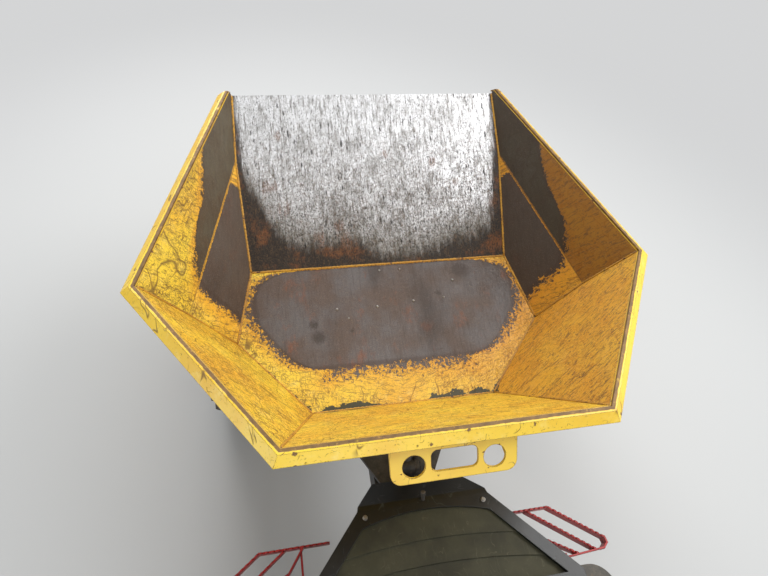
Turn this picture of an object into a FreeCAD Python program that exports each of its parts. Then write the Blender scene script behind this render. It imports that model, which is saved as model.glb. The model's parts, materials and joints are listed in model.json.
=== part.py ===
import FreeCAD, Part
import math
import os

V = FreeCAD.Vector

# Site dumper with an articulated chassis and a swivel skip.
# +X is the right-hand side, +Y forward, +Z up, and the origin lies on the ground under the middle.

# Clearances
running_gap = 0.3
working_gap = 6.0

# Skip, inner faces, measured from the rim's side corners (y = 0, z = 0 at the rim's top)
skip_half_width = 830.0
skip_tip_half = 550.0
skip_tip_y = 892.0
skip_rear_half = 441.0
skip_rear_y = -560.0
skip_rear_rise = 81.0
skip_crease_in = 120.0
skip_crease_y = 8.0
skip_crease_z = -205.0
floor_side_in = 254.0
floor_side_y = -17.0
floor_side_z = -390.0
floor_front_in = 35.0
floor_front_y = 262.0
floor_front_z = -349.0
floor_rear_y = -294.0
floor_rear_z = -430.0
lip_back = 7.0
lip_z = -22.0
skip_plate = 6.0

# Rim of the skip: a narrow flat top, then a flange that slopes outwards
rim_plate = 8.0
rim_flat = 15.0
rim_reach = 40.0
rim_drop = 24.0
rim_round_back = 22.0

# Bracket on the rear wall of the skip, on its sloping plate
bracket_top_half = 176.0
bracket_low_half = 172.0
bracket_length = 139.0
bracket_slope = 41.0
bracket_plate = 8.0
bracket_below_rim = 12.0
bracket_hole_x = 110.0
bracket_hole_radius = 31.0
bracket_hole_down = 93.0
bracket_slot_half = 64.0
bracket_slot_top = 55.0
bracket_slot_low = 114.0
bracket_slot_corner = 18.0
bracket_corner = 30.0
bracket_lip = 16.0
bracket_gusset_x = 150.0
bracket_gusset_drop = 40.0

# Wheels
wheel_radius = 380.0
tyre_width = 255.0
wheel_centre = 617.0
rim_radius = 194.0
rim_wall = 9.0
rim_well = 24.0
rim_flange = 12.0
disc_inset = 70.0
disc_plate = 12.0
hub_radius = 46.0
hub_nose = 58.0
hub_set_in = 62.0
hub_flange_radius = 105.0
bolt_circle = 80.0
wheel_bolts = 6
bolt_radius = 11.0
bolt_height = 16.0
lugs_a_side = 14
lug_height = 24.0
lug_width = 42.0
lug_lead = 0.95
lug_sink = 8.0

# Chassis
pivot_back = 640.0
front_axle_ahead = 350.0
rear_axle_back = 940.0
rear_overhang = 820.0
front_overhang = 150.0
rail_inner = 70.0
rail_width = 42.0
rail_above_axle = 60.0
rail_depth = 120.0
cross_plate = 30.0
nose_plate = 24.0
axle_radius = 50.0
axle_pad_half = 55.0
final_drive_radius = 85.0
final_drive_half = 64.0
rail_low = wheel_radius + rail_above_axle
rail_high = rail_low + rail_depth

# Places along the machine, with the origin in the middle of its length
skip_side_run = math.hypot(skip_half_width - skip_tip_half, skip_tip_y)
rim_to_nose = skip_tip_y - rim_round_back * skip_tip_y / skip_side_run + rim_reach
overall_length = rim_to_nose + pivot_back + rear_axle_back + rear_overhang
rim_y = overall_length / 2 - rim_to_nose
pivot_y = rim_y - pivot_back
front_axle_y = rim_y + front_axle_ahead
rear_axle_y = pivot_y - rear_axle_back
rear_end_y = rear_axle_y - rear_overhang

# Centre joint
centre_pin_radius = 28.0
centre_lug_rise = 28.0
centre_lug_height = 60.0
centre_lug_gap = 1.0
centre_ear = 26.0
centre_reach = 112.0
centre_half = 62.0
centre_flare = 30.0
centre_lug_low = rail_low + centre_lug_rise
centre_lug_high = centre_lug_low + centre_lug_height

# Slew ring and swivel frame
slew_back = 50.0
deck_plate = 20.0
deck_corner = 60.0
deck_gusset = 14.0
deck_gusset_reach = 150.0
slew_inner = 165.0
slew_outer = 215.0
slew_height = 32.0
motor_radius = 44.0
motor_back = 46.0
motor_drop = 130.0
table_plate = 20.0
table_half = 235.0
table_front = 330.0
table_rear = 455.0
table_rear_half = 100.0
cheek = 20.0
slew_y = rim_y - slew_back
deck_half = table_half
deck_top = rail_high + deck_plate
table_low = deck_top + slew_height + running_gap
table_top = table_low + table_plate

# Tip linkage: heights from the table or from the rim of the skip
skip_rise = 667.7
tip_pivot_ahead = 370.0
tip_pivot_below = 440.0
tip_pin_radius = 20.0
tip_pin_head = 10.0
tip_eye_radius = 45.0
skip_rail = 20.0
skip_rail_gap = 14.0
skip_rail_front = 95.0
skip_rail_drop = 58.0
ram_foot_back = 470.0
ram_foot_rise = 41.7
ram_head_ahead = 20.0
ram_head_below = 450.0
ram_radius = 38.0
rod_radius = 22.0
ram_pin_radius = 17.0
ram_eye_radius = 32.0
ram_eye_half = 26.0
ram_barrel_length = 385.0
ram_ear = 14.0
ram_ear_foot = 70.0
rim_height = table_top + skip_rise
tip_pivot_z = rim_height - tip_pivot_below
ram_foot_z = table_top + ram_foot_rise
ram_head_z = rim_height - ram_head_below

# Steering ram
steer_head_x = 185.0
steer_head_ahead = 95.0
steer_foot_back = 400.0
steer_ram_radius = 32.0
steer_rod_radius = 17.0
steer_pin_radius = 15.0
steer_eye_radius = 30.0
steer_eye_half = 20.0
steer_travel_in = 104.0
steer_rod_shown = 31.0
steer_ear = 14.0
steer_web_gap = 34.0
steer_barrel_length = steer_foot_back + steer_head_ahead - steer_travel_in - steer_eye_radius - steer_rod_shown

# Driver's place
footplate_rise = 40.0
footplate_plate = 10.0
footplate_half = 690.0
footplate_corner = 90.0
footplate_behind_pivot = 240.0
footplate_wheel_gap = 20.0
guard_gap = 38.0
guard_plate = 6.0
guard_side_in = 20.0
guard_side_out = 8.0
guard_web = 55.0
guard_trim = 40.0
well_gap = 15.0
bearer_half = 22.0
bearer_back = 60.0
footplate_top = rail_high + footplate_rise
footplate_front = pivot_y - footplate_behind_pivot
footplate_back = rear_axle_y + wheel_radius + footplate_wheel_gap
guard_radius = wheel_radius + guard_gap
guard_inner = wheel_centre - tyre_width / 2 - guard_side_in
guard_outer = wheel_centre + tyre_width / 2 + guard_side_out
well_half = guard_inner - well_gap

# Cowl over the centre joint: a frame with a moulded panel let into it
cowl_ahead = 12.0
cowl_length = 317.0
cowl_rise = 238.0
cowl_lift = 48.0
cowl_front_half = 222.0
cowl_flare = 0.85
cowl_depth = 90.0
cowl_border = 42.0
cowl_front_border = 54.0
cowl_panel_bow = 31.0
cowl_panel_corner = 26.0
cowl_panel_drop = 8.0
cowl_panel_plate = 30.0
cowl_step = 5.0
cowl_fold = 16.0
cowl_fold_drop = 4.0
fascia_reach = 83.0
fascia_drop = 84.0
fascia_low_half = 150.0
fascia_plate = 8.0
cowl_wall_plate = 8.0
cowl_leg = 60.0
cowl_front_y = pivot_y + cowl_ahead
cowl_rear_y = cowl_front_y - cowl_length
cowl_front_z = footplate_top + cowl_rise
cowl_rear_z = cowl_front_z + cowl_lift
cowl_lean = cowl_lift / cowl_length

# Console, steering wheel, levers and pedals
console_half = 125.0
console_ahead = 60.0
console_behind = 130.0
console_rise = 465.0
console_slope = 70.0
console_fall = 30.0
console_toe = 20.0
console_lap = 12.0
steering_wheel_radius = 190.0
steering_wheel_grip = 13.0
steering_wheel_back = 225.0
steering_wheel_rise = 585.0
hub_cap_radius = 44.0
hub_cap_depth = 28.0
spoke_width = 26.0
spoke_plate = 9.0
column_lean = 32.0
column_radius = 26.0
column_length = 190.0
boot_radius = 60.0
boot_start = 170.0
boot_length = 90.0
lever_x = 92.0
lever_radius = 7.0
lever_rise = 120.0
lever_knob = 16.0
lever_sink = 40.0
pedal_x = 230.0
pedal_half = 38.0
pedal_length = 100.0
pedal_plate = 8.0
pedal_lean = 50.0
pedal_rise = 150.0
pedal_gap = 25.0
console_front_y = cowl_rear_y + console_ahead
console_rear_y = cowl_rear_y - console_behind
console_top = footplate_top + console_rise
steering_wheel_y = cowl_rear_y - steering_wheel_back
steering_wheel_z = footplate_top + steering_wheel_rise

# Seat
seat_half = 235.0
seat_ahead_of_axle = 270.0
seat_behind_axle = 115.0
seat_base_rise = 290.0
plinth_side = 30.0
plinth_rear = 40.0
cushion_height = 110.0
backrest_height = 470.0
backrest_depth = 95.0
backrest_lean = 12.0
backrest_rise = 22.0
seat_front_y = rear_axle_y + seat_ahead_of_axle
seat_back_y = rear_axle_y - seat_behind_axle
plinth_top = footplate_top + seat_base_rise

# Hood, engine and tail
hood_half = 300.0
hood_behind_axle = 265.0
hood_rise = 385.0
hood_plate = 6.0
hood_round = 60.0
hood_set_in = 60.0
hood_hinge_x = 150.0
hood_ear_half = 26.0
hood_leaf_half = 14.0
hood_leaf_side = 42.0
hood_pin_radius = 7.0
hood_pin_wall = 5.0
hood_pin_rise = 14.0
firewall_plate = 8.0
louvres = 6
louvre_pitch = 34.0
louvre_length = 190.0
louvre_height = 24.0
louvre_reach = 9.0
louvre_wall = 2.5
louvre_rise = 110.0
grille_slots = 7
grille_half = 170.0
grille_slot = 11.0
grille_pitch = 24.0
grille_rise = 105.0
engine_half = 190.0
engine_rear_gap = 100.0
engine_front_gap = 85.0
engine_top_gap = 105.0
tail_depth = 90.0
tail_half = 420.0
tail_drop = 270.0
tail_corner = 50.0
tow_pin_radius = 14.0
tow_jaw_half = 60.0
tow_jaw_rise = 100.0
tow_jaw_height = 60.0
tow_jaw_depth = 60.0
tow_pin_ahead = 30.0
lamp_x = 362.0
lamp_half = 45.0
lamp_depth = 50.0
lamp_height = 60.0
lamp_set_in = 20.0
tank_round = 30.0
tank_gap = 25.0
tank_drop = 90.0
tail_high = rail_high + footplate_rise
tail_low = tail_high - tail_drop
hood_low = tail_high + running_gap
hood_high = tail_high + hood_rise
hood_front_y = rear_axle_y - hood_behind_axle

# Roll bar
rops_behind_axle = 235.0
rops_half = 400.0
rops_tube = 60.0
rops_hinge_rise = 880.0
rops_top_rise = 1880.0
rops_bend = 160.0
rops_hinge_plate = 8.0
rops_hinge_down = 110.0
rops_hinge_up = 36.0
rops_post_down = 56.0
rops_pin_radius = 11.0
rops_pin_end = 8.0
rops_y = rear_axle_y - rops_behind_axle
rops_hinge_z = footplate_top + rops_hinge_rise
rops_top_z = footplate_top + rops_top_rise

# Steps: open treads of flat bar on edge, with teeth along their tops
step_below = 80.0
step_bar = 7.0
step_depth = 42.0
tooth_pitch = 21.0
tooth_height = 7.0
step_hanger_out = 79.0
step_hanger = 12.0
step_arm_in = 50.0
step_arm = 8.0
step_z = footplate_top - step_below


def box(x0, x1, y0, y1, z0, z1):
    return Part.makeBox(x1 - x0, y1 - y0, z1 - z0, V(x0, y0, z0))


def rod(start, end, radius):
    axis = end - start
    return Part.makeCylinder(radius, axis.Length, start, axis)


def along_x(x0, x1, y, z, radius):
    return rod(V(x0, y, z), V(x1, y, z), radius)


def along_z(x, y, z0, z1, radius):
    return rod(V(x, y, z0), V(x, y, z1), radius)


def fuse(shapes):
    joined = shapes[0]
    if len(shapes) > 1:
        joined = shapes[0].multiFuse(shapes[1:])
    return joined.removeSplitter()


def mirrored(shape):
    return shape.mirror(V(0, 0, 0), V(1, 0, 0))


def both_sides(shape):
    return [shape, mirrored(shape)]


def polygon_face(points):
    return Part.Face(Part.makePolygon(list(points) + [points[0]]))


def side_profile(points, x0, x1):
    """Plate cut from an outline of (y, z) points and spread from x0 to x1."""
    face = polygon_face([V(x0, y, z) for y, z in points])
    return face.extrude(V(x1 - x0, 0, 0))


def plan_profile(points, z0, z1):
    """Plate cut from an outline of (x, y) points and spread from z0 to z1."""
    face = polygon_face([V(x, y, z0) for x, y in points])
    return face.extrude(V(0, 0, z1 - z0))


def front_profile(points, y0, y1):
    """Plate cut from an outline of (x, z) points and spread from y0 to y1."""
    face = polygon_face([V(x, y0, z) for x, z in points])
    return face.extrude(V(0, y1 - y0, 0))


def solid_of(faces):
    shell = Part.makeShell(faces)
    solid = Part.makeSolid(shell)
    if solid.Volume < 0:
        solid.reverse()
    return solid


def round_edges(shape, radius, picks):
    edges = [edge for edge in shape.Edges if picks(edge)]
    return shape.makeFillet(radius, edges) if edges else shape


def is_vertical(edge):
    direction = edge.tangentAt(edge.FirstParameter)
    return abs(direction.z) > 0.99


def is_along_y(edge):
    direction = edge.tangentAt(edge.FirstParameter)
    return abs(direction.y) > 0.99


# Planes of the skip: each is (outward normal, distance, thickness that it carries)


def plane_through(first, second, third, thickness, inside):
    normal = (second - first).cross(third - first)
    normal.normalize()
    if normal.dot(inside - first) > 0:
        normal = normal * -1
    return normal, normal.dot(first), thickness


def plane_mirror(plane):
    normal, distance, thickness = plane
    return V(-normal.x, normal.y, normal.z), distance, thickness


def meet(planes, outer):
    """Point where three planes meet, on their inner or outer faces."""
    rows = []
    values = []
    for normal, distance, thickness in planes:
        rows.append(normal)
        values.append(distance + (thickness if outer else 0.0))
    one, two, three = rows
    scale = one.dot(two.cross(three))
    point = two.cross(three) * values[0]
    point = point + three.cross(one) * values[1]
    point = point + one.cross(two) * values[2]
    return point * (1.0 / scale)


def panel(own, neighbours):
    """Flat plate between its neighbours, mitred to each."""
    count = len(neighbours)
    inner = []
    outer = []
    for index in range(count):
        planes = (own, neighbours[index], neighbours[(index + 1) % count])
        inner.append(meet(planes, False))
        outer.append(meet(planes, True))
    faces = [polygon_face(inner), polygon_face(outer)]
    for index in range(count):
        after = (index + 1) % count
        faces.append(polygon_face([inner[index], inner[after], outer[after], outer[index]]))
    return solid_of(faces)


def at_skip(x, y, z):
    return V(x, rim_y + y, rim_height + z)


def skip_planes():
    inside = at_skip(0, 100, -150)
    across = V(100, 0, 0)
    tip = at_skip(skip_tip_half, skip_tip_y, 0)
    corner = at_skip(skip_half_width, 0, 0)
    rear = at_skip(skip_rear_half, skip_rear_y, skip_rear_rise)
    crease = at_skip(skip_half_width - skip_crease_in, skip_crease_y, skip_crease_z)
    side = at_skip(skip_half_width - floor_side_in, floor_side_y, floor_side_z)
    front = at_skip(skip_tip_half - floor_front_in, floor_front_y, floor_front_z)
    heel = at_skip(0, floor_rear_y, floor_rear_z)
    lip = at_skip(0, skip_tip_y - lip_back, lip_z)
    nose = at_skip(0, skip_tip_y, 0)
    down = V(0, 0, -rim_plate)
    run = rear - corner
    level = V(run.y, -run.x, 0)
    planes = {
        "upper": plane_through(tip, corner, crease, skip_plate, inside),
        "lower": plane_through(crease, side, front, skip_plate, inside),
        "corner": plane_through(corner, rear, side, skip_plate, inside),
        "rear": plane_through(rear, rear + across, heel, skip_plate, inside),
        "front": plane_through(lip, lip + across, V(0, front.y, front.z), skip_plate, inside),
        "floor": plane_through(heel, heel + across, V(0, front.y, front.z), skip_plate, inside),
        "top_side": plane_through(tip + down, corner + down, corner + down - across, 0, inside),
        "top_corner": plane_through(corner + down, rear + down, corner + down + level, 0, inside),
        "top_rear": plane_through(rear + down, rear + down + across, rear + down + V(0, 50, 0), 0, inside),
        "end": plane_through(nose, nose + across, lip, 0, inside),
    }
    for name in ("upper", "lower", "corner"):
        planes[name + "_left"] = plane_mirror(planes[name])
    return planes


planes = skip_planes()


def panels_of(table):
    return [panel(planes[own], [planes[name] for name in around]) for own, around in table]


# Each row: panel, then its neighbours in order round it
side_rows = [
    ("upper", ["top_side", "corner", "lower", "front", "end"]),
    ("lower", ["upper", "corner", "floor", "front"]),
]
corner_rows = [("corner", ["top_corner", "rear", "floor", "lower", "upper"])]
rear_rows = [("rear", ["top_rear", "corner", "floor", "corner_left"])]
floor_rows = [("floor", ["front", "lower", "corner", "rear", "corner_left", "lower_left"])]
front_rows = [("front", ["end", "upper", "lower", "floor", "lower_left", "upper_left"])]

parts = {}


def build_skip_shell():
    side = fuse(panels_of(side_rows))
    corner = fuse(panels_of(corner_rows))
    parts["skip_side_right"] = side
    parts["skip_side_left"] = mirrored(side)
    parts["skip_corner_right"] = corner
    parts["skip_corner_left"] = mirrored(corner)
    parts["skip_rear"] = fuse(panels_of(rear_rows))
    parts["skip_floor"] = fuse(panels_of(floor_rows))
    parts["skip_front_plate"] = fuse(panels_of(front_rows))


def rim_section(point, outward):
    """Rim outline at one station: outward is the mitre direction, already lengthened."""
    slant = rim_plate * 0.55
    outline = [
        (0.0, 0.0),
        (rim_flat, 0.0),
        (rim_reach, -rim_drop),
        (rim_reach - slant, -rim_drop - slant),
        (rim_flat - 3.0, -rim_plate),
        (0.0, -rim_plate),
    ]
    return [point + outward * reach + V(0, 0, rise) for reach, rise in outline]


def ruled_solid(first, second):
    faces = [polygon_face(first), polygon_face(second)]
    count = len(first)
    for index in range(count):
        after = (index + 1) % count
        start = Part.makeLine(first[index], first[after])
        end = Part.makeLine(second[index], second[after])
        faces.append(Part.makeRuledSurface(start, end))
    return solid_of(faces)


def mitre(before, after):
    total = before + after
    return total * (1.0 / (1.0 + before.dot(after)))


def outward_of(start, end):
    run = end - start
    out = V(-run.y, run.x, 0)
    out.normalize()
    if out.dot(V(start.x + end.x, 0, 0)) < 0:
        out = out * -1
    return out


def build_rim():
    tip = at_skip(skip_tip_half, skip_tip_y, 0)
    corner = at_skip(skip_half_width, 0, 0)
    rear = at_skip(skip_rear_half, skip_rear_y, skip_rear_rise)
    side_out = outward_of(tip, corner)
    corner_out = outward_of(corner, rear)
    rear_out = V(0, -1, 0)
    along = (tip - corner)
    along.normalize()
    start = tip - along * rim_round_back
    sections = [
        rim_section(start, side_out),
        rim_section(corner, mitre(side_out, corner_out)),
        rim_section(rear, mitre(corner_out, rear_out)),
    ]
    middle = rim_section(V(0, rear.y, rear.z), rear_out)
    half = [
        ruled_solid(sections[0], sections[1]),
        ruled_solid(sections[1], sections[2]),
        ruled_solid(sections[2], middle),
    ]
    end = polygon_face(sections[0]).revolve(start, V(0, 0, 1), 90.0)
    half.append(end)
    walls = [parts[name] for name in ("skip_side_right", "skip_corner_right", "skip_rear")]
    right = fuse(half).cut(fuse(walls))
    parts["skip_rim"] = fuse(both_sides(right))


def build_bracket():
    """Sloping plate with two round holes and an opening, on gussets under the rim at the rear."""
    slope = math.radians(bracket_slope)
    normal, distance, thickness = planes["rear"]
    top_z = rim_height + skip_rear_rise - rim_plate - bracket_below_rim
    top_y = (distance + skip_plate - normal.z * top_z) / normal.y
    low = bracket_length
    outline = [
        (-bracket_top_half, 0.0),
        (bracket_top_half, 0.0),
        (bracket_low_half, -low),
        (-bracket_low_half, -low),
    ]
    plate = plan_profile(outline, -bracket_plate, 0.0)
    plate = round_edges(plate, bracket_corner, lambda e: is_vertical(e) and e.Vertexes[0].Y < -low + 1)
    through = 4 * bracket_plate
    for side in (-1, 1):
        hole = along_z(side * bracket_hole_x, -bracket_hole_down, -through, through, bracket_hole_radius)
        plate = plate.cut(hole)
    slot = box(-bracket_slot_half, bracket_slot_half, -bracket_slot_low, -bracket_slot_top, -through, through)
    plate = plate.cut(round_edges(slot, bracket_slot_corner, is_vertical))
    turned = box(-bracket_low_half + bracket_corner, bracket_low_half - bracket_corner,
                 -low, -low + bracket_plate, -bracket_lip, 0)
    plate = fuse([plate, turned])
    plate.rotate(V(0, 0, 0), V(1, 0, 0), bracket_slope)
    plate.translate(V(0, top_y, top_z))
    reach = low - bracket_lip - working_gap
    tip_y = top_y - reach * math.cos(slope)
    tip_z = top_z - reach * math.sin(slope)
    under = bracket_plate / math.cos(slope)
    foot_z = tip_z - bracket_gusset_drop
    foot_y = (distance + skip_plate - normal.z * foot_z) / normal.y
    gusset = side_profile([(top_y, top_z - under), (tip_y, tip_z - under), (foot_y, foot_z)],
                          bracket_gusset_x, bracket_gusset_x + bracket_plate)
    shell = fuse([parts["skip_rear"], parts["skip_corner_right"], parts["skip_corner_left"]])
    parts["skip_bracket"] = fuse([plate] + both_sides(gusset)).cut(shell)


def skip_under(y):
    """Height of the skip's underside on the centre line at a place y, in machine coordinates."""
    best = None
    for name in ("floor", "front", "rear"):
        normal, distance, thickness = planes[name]
        z = (distance + thickness - normal.y * y) / normal.z
        best = z if best is None else max(best, z)
    return best


def build_skip_rails():
    outer = table_half - cheek - skip_rail_gap
    inner = outer - skip_rail
    heel = rim_y + floor_rear_y
    middle = (V(1, 0, 0), 0.0, 0.0)
    knee = meet((planes["floor"], planes["front"], middle), True)
    tip_y = rim_y + tip_pivot_ahead
    head_y = rim_y + ram_head_ahead
    front_y = tip_y + skip_rail_front
    base_z = tip_pivot_z - skip_rail_drop
    outline = [
        (heel, skip_under(heel)),
        (knee.y, knee.z),
        (front_y, skip_under(front_y)),
        (tip_y + 38.0, tip_pivot_z - 20.0),
        (tip_y - 60.0, base_z),
        (heel + 60.0, base_z + 6.0),
    ]
    rail = side_profile(outline, inner, outer)
    rail = rail.fuse(along_x(inner, outer, tip_y, tip_pivot_z, tip_eye_radius))
    rail = rail.cut(along_x(inner - 5, outer + 5, tip_y, tip_pivot_z, tip_pin_radius + running_gap))
    cross = [
        box(-inner, inner, heel + 70.0, heel + 90.0, base_z + 34.0, skip_under(heel + 90.0)),
        box(-inner, inner, tip_y - 85.0, tip_y - 65.0, base_z + 12.0, skip_under(tip_y - 85.0) + 1.0),
    ]
    ear_inner = ram_eye_half + working_gap
    ear_outer = ear_inner + ram_ear
    ear = side_profile(
        [
            (head_y - ram_ear_foot, skip_under(head_y - ram_ear_foot)),
            (head_y + ram_ear_foot, skip_under(head_y + ram_ear_foot)),
            (head_y + ram_eye_radius, ram_head_z - ram_eye_radius * 0.4),
            (head_y + ram_eye_radius * 0.4, ram_head_z - ram_eye_radius),
            (head_y - ram_eye_radius * 0.4, ram_head_z - ram_eye_radius),
            (head_y - ram_eye_radius, ram_head_z - ram_eye_radius * 0.4),
        ],
        ear_inner,
        ear_outer,
    )
    cap = along_x(ear_outer, ear_outer + 8.0, head_y, ram_head_z, ram_pin_radius + 8.0)
    pieces = both_sides(rail) + cross + both_sides(fuse([ear, cap]))
    carrier = fuse([parts["skip_floor"], parts["skip_front_plate"], parts["skip_rear"]])
    parts["skip_rails"] = fuse(pieces).cut(carrier)


def build_swivel_frame():
    base = table_low
    top = table_top
    table = plan_profile(
        [
            (table_half, slew_y + table_front),
            (table_half, slew_y - slew_outer),
            (table_rear_half, slew_y - table_rear),
            (-table_rear_half, slew_y - table_rear),
            (-table_half, slew_y - slew_outer),
            (-table_half, slew_y + table_front),
        ],
        base,
        top,
    )
    tip_y = rim_y + tip_pivot_ahead
    front = slew_y + table_front
    side = side_profile(
        [
            (slew_y - slew_outer, top),
            (front, top),
            (tip_y + tip_eye_radius * 0.8, tip_pivot_z - tip_eye_radius * 0.6),
            (tip_y - tip_eye_radius * 0.4, tip_pivot_z + tip_eye_radius * 0.91),
            (tip_y - 150.0, tip_pivot_z - 90.0),
            (slew_y - 40.0, top + 46.0),
            (slew_y - slew_outer, top + 30.0),
        ],
        table_half - cheek,
        table_half,
    )
    side = side.fuse(along_x(table_half - cheek, table_half, tip_y, tip_pivot_z, tip_eye_radius))
    side = side.cut(along_x(table_half - 2 * cheek, table_half + 5, tip_y, tip_pivot_z, tip_pin_radius))
    foot_y = rim_y - ram_foot_back
    ear_inner = ram_eye_half + running_gap
    ear = side_profile(
        [
            (foot_y - ram_eye_radius, top),
            (foot_y + ram_eye_radius + 12.0, top),
            (foot_y + ram_eye_radius, ram_foot_z + ram_eye_radius * 0.5),
            (foot_y + ram_eye_radius * 0.5, ram_foot_z + ram_eye_radius),
            (foot_y - ram_eye_radius * 0.5, ram_foot_z + ram_eye_radius),
            (foot_y - ram_eye_radius, ram_foot_z + ram_eye_radius * 0.5),
        ],
        ear_inner,
        ear_inner + ram_ear,
    )
    spigot = along_z(0, slew_y, deck_top + working_gap, base, slew_inner - 8.0)
    pin = along_x(-ear_inner - 24.0, ear_inner + 24.0, foot_y, ram_foot_z, ram_pin_radius)
    pieces = [table, spigot, pin] + both_sides(side) + both_sides(ear)
    parts["swivel_frame"] = fuse(pieces)
    inner = table_half - cheek - skip_rail_gap - skip_rail - 8.0
    tip_pin = along_x(inner, table_half + tip_pin_head, tip_y, tip_pivot_z, tip_pin_radius)
    head = along_x(table_half, table_half + tip_pin_head, tip_y, tip_pivot_z, tip_pin_radius + 9.0)
    parts["tip_pins"] = Part.Compound(both_sides(fuse([tip_pin, head])))


def ram_pair(foot, head, barrel_radius, rod_r, eye_r, eye_half, pin_r, barrel_length, across, inward):
    """Barrel with its foot eye, and rod with its head eye; the rod can still go inward by a length."""
    line = head - foot
    direction = V(line)
    direction.normalize()
    side = across * eye_half
    foot_eye = rod(foot - side, foot + side, eye_r)
    neck = rod(foot, foot + direction * (eye_r + 20.0), eye_half * 0.9)
    tube = rod(foot + direction * (eye_r + 16.0), foot + direction * barrel_length, barrel_radius)
    gland = rod(foot + direction * (barrel_length - 34.0), foot + direction * barrel_length,
                barrel_radius + 5.0)
    bore_start = eye_r + 24.0
    bore = rod(foot + direction * bore_start, foot + direction * (barrel_length + 1.0),
               rod_r + running_gap)
    barrel = fuse([foot_eye, neck, tube, gland]).cut(bore)
    barrel = barrel.cut(rod(foot - side * 1.2, foot + side * 1.2, pin_r + running_gap))
    head_eye = rod(head - side, head + side, eye_r)
    stem_start = bore_start + inward + working_gap
    stem = rod(foot + direction * stem_start, head - direction * (eye_r * 0.6), rod_r)
    piston = fuse([head_eye, stem])
    piston = piston.cut(rod(head - side * 1.2, head + side * 1.2, pin_r))
    return barrel, piston


def build_rams():
    foot = V(0, rim_y - ram_foot_back, ram_foot_z)
    head = V(0, rim_y + ram_head_ahead, ram_head_z)
    barrel, piston = ram_pair(foot, head, ram_radius, rod_radius, ram_eye_radius, ram_eye_half,
                              ram_pin_radius, ram_barrel_length, V(1, 0, 0), 0.0)
    parts["tip_ram_barrel"] = barrel
    parts["tip_ram_rod"] = piston
    middle = (centre_lug_low + centre_lug_high) / 2
    foot = V(steer_head_x, pivot_y - steer_foot_back, middle)
    head = V(steer_head_x, pivot_y + steer_head_ahead, middle)
    barrel, piston = ram_pair(foot, head, steer_ram_radius, steer_rod_radius, steer_eye_radius,
                              steer_eye_half, steer_pin_radius, steer_barrel_length, V(0, 0, 1),
                              steer_travel_in)
    parts["steer_ram_barrel"] = barrel
    parts["steer_ram_rod"] = piston


def axle(y):
    """Axle tube with final-drive bulge, hub flanges and hub noses."""
    hub_x = wheel_centre - tyre_width / 2 + disc_inset
    hub_start = hub_x - hub_set_in
    tube = along_x(0, hub_x + hub_nose, y, wheel_radius, hub_radius)
    sleeve = along_x(0, hub_start, y, wheel_radius, axle_radius)
    bulge = along_x(0, final_drive_half, y, wheel_radius, final_drive_radius)
    bulge = bulge.makeChamfer(final_drive_half * 0.5, [bulge.Edges[0]])
    flange = along_x(hub_start, hub_x - running_gap, y, wheel_radius, hub_flange_radius)
    low = wheel_radius + axle_radius * 0.7
    pad = box(rail_inner, rail_inner + rail_width, y - axle_pad_half, y + axle_pad_half, low, rail_low)
    half = tube.multiFuse([sleeve, bulge, flange, pad])
    return fuse(both_sides(half))


def centre_ears(start_y):
    """Front half of the centre joint: an ear above and one below the rear lug."""
    outline = [
        (centre_half + centre_flare, start_y),
        (centre_half, pivot_y),
        (-centre_half, pivot_y),
        (-centre_half - centre_flare, start_y),
    ]
    ears = []
    for low in (centre_lug_high + centre_lug_gap, centre_lug_low - centre_lug_gap - centre_ear):
        high = low + centre_ear
        ear = plan_profile(outline, low, high).fuse(along_z(0, pivot_y, low, high, centre_half))
        ears.append(ear.cut(along_z(0, pivot_y, low - 5, high + 5, centre_pin_radius)))
    return ears


def steering_arms(level, outer):
    """Pair of arms on the right of the front frame that holds the steering ram's rod eye."""
    gap = steer_eye_half + working_gap
    out = steer_head_x + steer_eye_radius + working_gap
    head_y = pivot_y + steer_head_ahead
    back = head_y - steer_eye_radius
    web = head_y + steer_eye_radius + steer_web_gap
    picks = lambda e: is_vertical(e) and e.Vertexes[0].X > out - 1 and e.Vertexes[0].Y < back + 1
    boss = working_gap + 2.0
    arms = [box(outer, out, web, web + steer_ear, level - gap - steer_ear, level + gap + steer_ear)]
    for low, boss_low in ((level + gap, level + gap + steer_ear), (level - gap - steer_ear,
                                                                  level - gap - steer_ear - boss)):
        arm = box(outer, out, back, web + steer_ear, low, low + steer_ear)
        arms.append(round_edges(arm, steer_eye_radius * 0.8, picks))
        arms.append(along_z(steer_head_x, head_y, boss_low, boss_low + boss, steer_pin_radius + 6.0))
    return arms


def steering_foot(level, outer):
    """Fork on the right of the rear frame with the pin of the steering ram's barrel."""
    gap = steer_eye_half + running_gap
    out = steer_head_x + steer_eye_radius
    foot_y = pivot_y - steer_foot_back
    back = foot_y - steer_eye_radius - 2 * working_gap
    high = level + gap + steer_ear
    low = level - gap - steer_ear
    fork = [box(outer, out, back, back + cowl_wall_plate, low, high)]
    for start in (level + gap, low):
        fork.append(box(outer, out, back, foot_y + steer_eye_radius, start, start + steer_ear))
    fork.append(along_z(steer_head_x, foot_y, low - working_gap, high + working_gap, steer_pin_radius))
    return fork


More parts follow.
